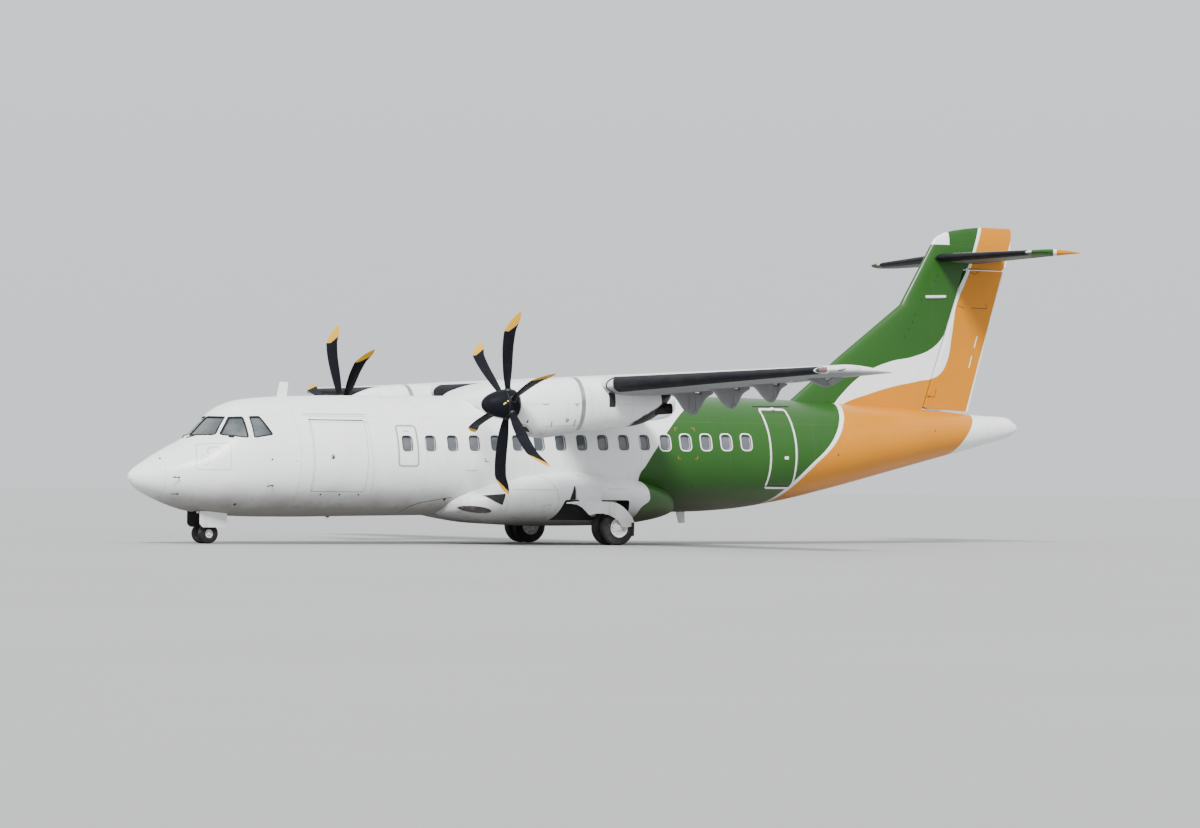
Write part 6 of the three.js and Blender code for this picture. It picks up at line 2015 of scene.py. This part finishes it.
# The wheel wells are near-black, as painted shade inside them
second_material(gear_fairing, black_marks_and_shade, in_well)
wing_fairing = fairing("wing_fairing", WING_FAIRING)
dress(wing_fairing, white_paint, "fuselage_white", replaces=["wing_body_fairing"])
print("fairings:", len(gear_fairing.data.polygons) + len(wing_fairing.data.polygons), "faces")

# %% Lamps, intakes and seams of the gear fairing
LAMP_X = 7.43
lamp = ellipse(LAMP_X, 0.76, 0.30, 0.075, 48)
lamp[:, 1] -= 0.13 * (lamp[:, 0] - LAMP_X)
# The intakes are dark plates, painted shade for their openings; the dark triangle ahead of each main gear
# door is its painted shadow
fairing_intake = rounded([(7.56, 1.07), (8.02, 1.11), (7.935, 0.86), (7.78, 0.93)], 0.012)
door_front_shadow = [(9.640, 1.285), (9.668, 1.285), (9.660, 0.990), (9.520, 0.985)]
fairing_vent = rounded([(8.86, 0.72), (9.02, 0.73), (9.08, 0.88), (8.90, 0.86)], 0.02)
lamps, dark_bits, grey_bits = [], [], []
for side in SIDES.values():
    surface = on_fairing(GEAR_FAIRING, side)
    dark_bits += [plate("intake", fairing_intake, surface, 0.003),
                  plate("slot", door_front_shadow, surface, 0.002)]
    lamps.append(plate("lamp", lamp, surface, 0.003))
    grey_bits += [strip("vent", fairing_vent, 0.010, surface), strip("lamp rim", lamp, 0.010, surface),
                  trace("seam", [(8.99, 1.57), (9.10, 1.38), (9.22, 1.20), (9.26, 0.97)], 0.008, surface),
                  trace("seam", [(8.21, 1.20), (9.20, 1.20)], 0.008, surface),
                  trace("seam", [(10.48, 1.23), (10.98, 1.23)], 0.008, surface)]
dress(joined("fairing_intakes", dark_bits), black_marks_and_shade, "fuselage_white")
dress(joined("landing_lamps", lamps), lamp_glass, "window_glass")
dress(joined("lamp_rims", grey_bits), grey_line, "fuselage_white")
print(len(lamps), "landing lamps")

# %% Tyres and rims
MAIN = {"x": 10.530, "y": 2.050, "spacing": 0.410, "radius": 0.388, "width": 0.225, "rim": 0.220}
NOSE_WHEEL = {"x": 1.753, "y": 0.0, "spacing": 0.340, "radius": 0.215, "width": 0.180, "rim": 0.100}
# The rim's profile, as shares of its face's distance from the middle and of its radius
RIM_PROFILE = [(-1, 0), (-1, 0.9), (-1, 1), (0.9, 1), (1.03, 0.985), (1.05, 0.95), (0.95, 0.91), (0.62, 0.86),
               (0.55, 0.80), (0.58, 0.52), (0.66, 0.48), (0.70, 0.34), (1.0, 0.30), (1.08, 0.25), (1.10, 0)]
RIM_FACE, BOLT_RING = 0.86, 0.66  # shares of the tyre's half width and of the rim's radius


def tyre(name, wheel, y):
    """A profile turned about the axle: over the rim it rises by (1 - t^4.2)^(1/2.6) of the tyre's height,
    t running across it from -1 to 1, and three grooves run round the tread."""
    r, half, rim = wheel["radius"], wheel["width"] / 2, wheel["rim"]
    t = np.linspace(-1, 1, 61)
    shoulder = (1 - np.abs(t) ** 4.2) ** (1 / 2.6)
    tread = rim + (r - rim) * shoulder
    for middle in (-0.42, 0.0, 0.42):
        tread = tread - 0.007 * (r / 0.388) * np.exp(-((t - middle) / 0.035) ** 2)
    tread = np.maximum(tread, rim)
    inner = [(half * 0.80, rim - 0.012), (-half * 0.80, rim - 0.012)]
    profile = np.vstack([np.column_stack([t * half, tread]), inner])
    a = np.linspace(0, 2 * np.pi, 72, endpoint=False)[:, None]
    x = wheel["x"] + profile[:, 1] * np.cos(a)
    z = wheel["radius"] + profile[:, 1] * np.sin(a)
    return loop_of(name, np.stack([x, y + profile[:, 0] + 0 * a, z], -1))


def rim(name, wheel, y, out, bolts, body):
    """A dished rim: a rounded edge, a step, a flat ring with bolts and a hub cap."""
    r, face, x, z = wheel["rim"], wheel["width"] / 2 * RIM_FACE, wheel["x"], wheel["radius"]
    parts = [turned("disc", np.array(RIM_PROFILE) * (face, r), (x, y, z), (0, out, 0), 64)]
    ring = r * BOLT_RING
    for angle in np.arange(bolts) * 2 * np.pi / bolts + 0.2:
        foot = np.array([x + ring * math.cos(angle), y + out * face * 0.50, z + ring * math.sin(angle)])
        parts.append(rod("bolt", foot, foot + (0, out * face * 0.22, 0), r * 0.055, count=8))
    return dress(joined(name, parts), rim_enamel, "rim_aluminium", body)


def holes(name, wheel, y, out, number, body):
    """Dark oval plates on the rim's flat ring: painted shade for its openings."""
    r, face, x, z = wheel["rim"], wheel["width"] / 2 * RIM_FACE, wheel["x"], wheel["radius"]

    def on_disc(flat, lift):
        side = np.full(len(flat), y + out * (face * 0.565 + lift))
        return np.column_stack([x + flat[:, 0], side, z + flat[:, 1]])

    ring, size, parts = r * BOLT_RING, r * 0.055, []
    for a in 2 * np.pi * (np.arange(number) + 0.5) / number:
        oval = ellipse(ring * math.cos(a), ring * math.sin(a), size, size, 16)
        parts.append(plate("hole", oval, on_disc, 0.001, 0.004))
    return dress(joined(name, parts), black_marks_and_shade, "rim_aluminium", body)


# %% Six wheels on three axles
def whole_wheel(end, label, wheel, y, out, bolts, body):
    """A tyre, its rim and the painted shade of the rim's holes."""
    node = f"{end}_tyre_{label}"
    dress(tyre(node + "_rubber", wheel, y), tyre_rubber, "tyre_rubber", body, [node])
    rim(f"{end}_rim_{label}", wheel, y, out, bolts, body)
    holes(f"{end}_rim_holes_{label}", wheel, y, out, bolts, body)


def axle(name, wheel, y, half, radius):
    """A bar through the middles of two wheels."""
    return rod(name, (wheel["x"], y - half, wheel["radius"]), (wheel["x"], y + half, wheel["radius"]), radius)


for name, side in SIDES.items():
    body, y = f"main_wheel_pair_{name}", side * MAIN["y"]
    for where, way in (("inner", -side), ("outer", side)):
        whole_wheel("main", f"{name}_{where}", MAIN, y + way * MAIN["spacing"] / 2, way, 9, body)
    dress(axle(f"main_axle_{name}", MAIN, y, 0.16, 0.045), steel, "gear_steel", body, [f"main_wheels_{name}"])
    whole_wheel("nose", name, NOSE_WHEEL, side * NOSE_WHEEL["spacing"] / 2, side, 6, "nose_wheel_pair")
dress(axle("nose_axle", NOSE_WHEEL, 0, 0.12, 0.026), steel, "gear_steel", "nose_wheel_pair", ["nose_wheels"])
print("six wheels on three axles")

# %% Main legs
def main_leg():
    """The starboard leg: a cross tube from the well's wall, the trailing arm, its shock strut with a
    bright rod, the axle's eye, hydraulic lines and the strut that carries the door."""
    x, y, z = MAIN["x"], MAIN["y"], MAIN["radius"]
    painted_parts = [
        rod("cross", (10.33, 1.5603, 0.872), (10.33, y + 0.03, 0.866), 0.075, edge=0.012),
        rod("arm", (10.33, y, 0.866), (x, y, z), 0.062, 0.056),
        rod("brace", (10.78, 1.5603, 0.90), (10.38, y, 0.87), 0.045),
        block("foot", (10.23, 1.5603, 0.62), (10.88, 1.62, 0.96), 0.05),
        rod("eye", (x, y - 0.0725, z), (x, y + 0.0725, z), 0.085, edge=0.01),
        rod("strut", (10.33, y, 0.855), (10.33, 2.3947, 0.855), 0.026),
        rod("cylinder", (10.40, y + 0.005, 0.86), (10.50, y + 0.005, 0.62), 0.044),
        rod("knee", (10.325, y - 0.065, 0.79), (10.325, y + 0.065, 0.79), 0.03),
    ]
    bright = [rod("piston", (10.49, y + 0.005, 0.64), (10.53, y + 0.005, 0.50), 0.027)]
    lines = []
    for shift in (-0.03, 0.03):
        path = np.array([(10.36, y + shift, 0.95), (10.42, y + shift * 1.4, 0.82),
                         (10.50, y + shift * 1.5, 0.66), (10.545, y + shift * 1.6, 0.52),
                         (10.55, y + shift, 0.44)])
        lines += [rod("line", a, b, 0.008, count=10) for a, b in zip(path[:-1], path[1:])]
    return joined("main_leg", painted_parts), joined("piston", bright), joined("brake lines", lines)


leg, piston, brake_lines = main_leg()
both_sides("main_leg_arm", leg, gear_enamel, "gear_steel", nodes=["main_leg"])
both_sides("main_leg_piston", piston, chrome, "gear_steel")
both_sides("main_leg_lines", brake_lines, seal_rubber, "tyre_rubber")
print("main legs:", len(leg.data.polygons), "faces each")

# %% Doors that follow the main legs
# Height, front, rear and inner face of the plate that flares out from the fairing
DOOR_PLATE = np.array([
    (1.290, 9.670, 10.300, 1.960),
    (1.090, 9.665, 10.270, 1.968),
    (1.010, 9.620, 10.190, 2.090),
    (0.960, 9.570, 10.110, 2.300),
    (0.900, 9.545, 10.075, 2.395),
])
FENDER = [(9.190, 0.905), (9.200, 0.935), (9.450, 0.955), (9.750, 0.955), (10.300, 0.950), (10.450, 0.915),
          (10.590, 0.840), (10.710, 0.730), (10.810, 0.620), (10.865, 0.520), (10.870, 0.440),
          (10.730, 0.400), (10.560, 0.400), (10.520, 0.480), (10.450, 0.550), (10.360, 0.610),
          (10.230, 0.665), (10.090, 0.695), (9.920, 0.695), (9.750, 0.660), (9.680, 0.730),
          (9.580, 0.820), (9.450, 0.885), (9.300, 0.905)]


def flared_plate():
    """Smooth curves through the plate's table, taken at even heights, with a rounded rim all round."""
    rows = DOOR_PLATE[::-1]
    z = np.linspace(0.90, 1.29, 24)
    front, rear, inner = (curve_through(rows, k)(z) for k in (1, 2, 3))
    corners = [(0.006, 0.0), (0.0, 0.006), (0.0, 0.024), (0.006, 0.030)]
    outline = [np.stack([front + e, inner + d, z], -1) for e, d in corners]
    outline += [np.stack([rear - e, inner + d, z], -1) for e, d in corners[::-1]]
    return loft("plate", np.stack(outline, 1))


door = joined("door", [flared_plate(), slab("fender", rounded(FENDER, 0.008, 3), 2.395, 2.425)])
both_sides("main_gear_door_panel", door, gear_door_paint, "fuselage_white", nodes=["main_gear_door"])
mud_flap = rounded([(10.800, 0.21), (10.862, 0.20), (10.868, 0.50), (10.790, 0.50)], 0.012)
both_sides("main_gear_flap", slab("mud flap", mud_flap, 2.390, 2.428), seal_rubber, "tyre_rubber")
print("main gear doors:", len(door.data.polygons), "faces each")

# %% Nose leg and doors
leg = [rod("strut", (1.715, 0, 0.56), (1.715, 0, 1.1497), 0.062, edge=0.01),
       rod("brace", (2.08, 0, 1.12), (1.735, 0, 0.70), 0.034),
       block("head", (1.64, -0.12, 1.09), (2.14, 0.12, 1.1497), 0.02),
       block("tow", (1.585, -0.06, 0.64), (1.675, 0.06, 0.70), 0.012),
       rod("collar", (1.715, 0, 0.60), (1.715, 0, 0.66), 0.078)]
dress(joined("nose_leg_strut", leg), gear_enamel, "gear_steel", replaces=["nose_leg"])
lamp_profile = [(0, 0), (0, 0.052), (0.05, 0.05), (0.08, 0.02), (0.08, 0)]
dress(turned("taxi_lamp", lamp_profile, (1.62, 0, 0.77), (1, 0, 0.1), 24), chrome, "rim_aluminium")
steering = [rod("strut", (1.715, 0, 0.275), (1.715, 0, 0.5594), 0.048),
            rod("link", (1.715, 0, 0.325), (1.753, 0, 0.215), 0.045),
            rod("eye", (1.753, -0.065, 0.215), (1.753, 0.065, 0.215), 0.055),
            rod("torque", (1.79, 0, 0.53), (1.86, 0, 0.42), 0.018),
            rod("torque", (1.86, 0, 0.42), (1.78, 0, 0.30), 0.018)]
dress(joined("nose_steering_fork", steering), chrome, "gear_steel", "steering", ["nose_steering"])
door_outline = rounded([(1.49, 0.42), (1.56, 0.35), (2.06, 0.35), (2.11, 0.42), (2.11, 0.69),
                        (1.49, 0.69)], 0.02)
door_hinge = rounded(rectangle(1.60, 2.00, 0.655, 0.688), 0.01)
nose_door = joined("nose door", [slab("panel", door_outline, 0.335, 0.355),
                                 slab("hinge", door_hinge, 0.29, 0.336)])
both_sides("nose_gear_door_panel", nose_door, white_paint, "fuselage_white", nodes=["nose_gear_door"])
for name in SIDES:
    second_material(bpy.data.objects["nose_gear_door_panel_" + name], black_marks_and_shade,
                    lambda x, y, z: np.abs(y) < 0.337)
print("nose leg and its doors done")

# %% Carried-over pieces
inside = frame["nodes"]["flight_deck_interior"]
inside.data.materials.clear()
inside.data.materials.append(seat_trim)
print("kept as packed:", inside.name)

# %% [markdown]
# ## Light and floor
#
# The photograph was taken under bright clouds. Their light comes from everywhere, which a pale sky
# gives, and a bit more from behind the camera, which a sun gives: the wider it is, the softer are its
# shadows. A floor is needed for the wheels to stand on. Grass would draw the eye away, so it is plain
# pale concrete, far larger than the picture. It throws light upwards, under the wing and the belly.

# %% Floor, sky and lamps
def floor_material():
    """Pale concrete: cloudy patches and a fine grain."""
    material, w, shader, place = new_material("floor")
    cloud = w.noise(place, 0.15, 5.0)
    grain = w.noise(place, 30.0, 3.0)
    shade = w.plus(w.times(cloud, 0.05), w.times_plus(grain, 0.02, 0.30))  # about 0.30 to 0.37
    w.feed(shader["Base Color"], w.node("CombineColor", {0: shade, 1: shade, 2: shade}).outputs[0])
    w.feed(shader["Roughness"], w.times_plus(cloud, 0.2, 0.7))
    return material


REACH = 900.0  # of the floor, each way
SKY_STRENGTH, SUN_STRENGTH, SUN_WIDTH = 1.45, 5.4, math.radians(12)
ground = new_object("floor", bpy.data.meshes.new("floor"))
corners = [(x, y, 0) for x, y in rectangle(-REACH, REACH, -REACH, REACH)]
ground.data.from_pydata(corners, [], [(0, 1, 2, 3)])
ground.data.materials.append(floor_material())
ground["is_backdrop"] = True

world = bpy.data.worlds.new("sky")
bpy.context.scene.world = world
world.use_nodes = True
w = Wiring(world.node_tree)
height = w.split(w.node("TexCoord").outputs["Generated"])[2]
colour = w.mix(w.ramp(height, 0.0, 0.5), (0.66, 0.68, 0.70, 1), (0.95, 0.97, 1.0, 1))
background = world.node_tree.nodes["Background"]
w.feed(background.inputs[0], colour)
background.inputs[1].default_value = SKY_STRENGTH

sun = new_object("sun", bpy.data.lights.new("sun", "SUN"))
sun.data.energy = SUN_STRENGTH
sun.data.angle = SUN_WIDTH
sun.rotation_euler = (math.radians(48), 0, math.radians(-32))
print("lit by a sky of", SKY_STRENGTH, "and a sun of", SUN_STRENGTH)

# %% Sizes
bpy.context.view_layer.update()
for label, box in (("CAD", CAD_BOX), ("visual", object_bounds())):
    print(label, [[round(v, 3) for v in corner] for corner in box])
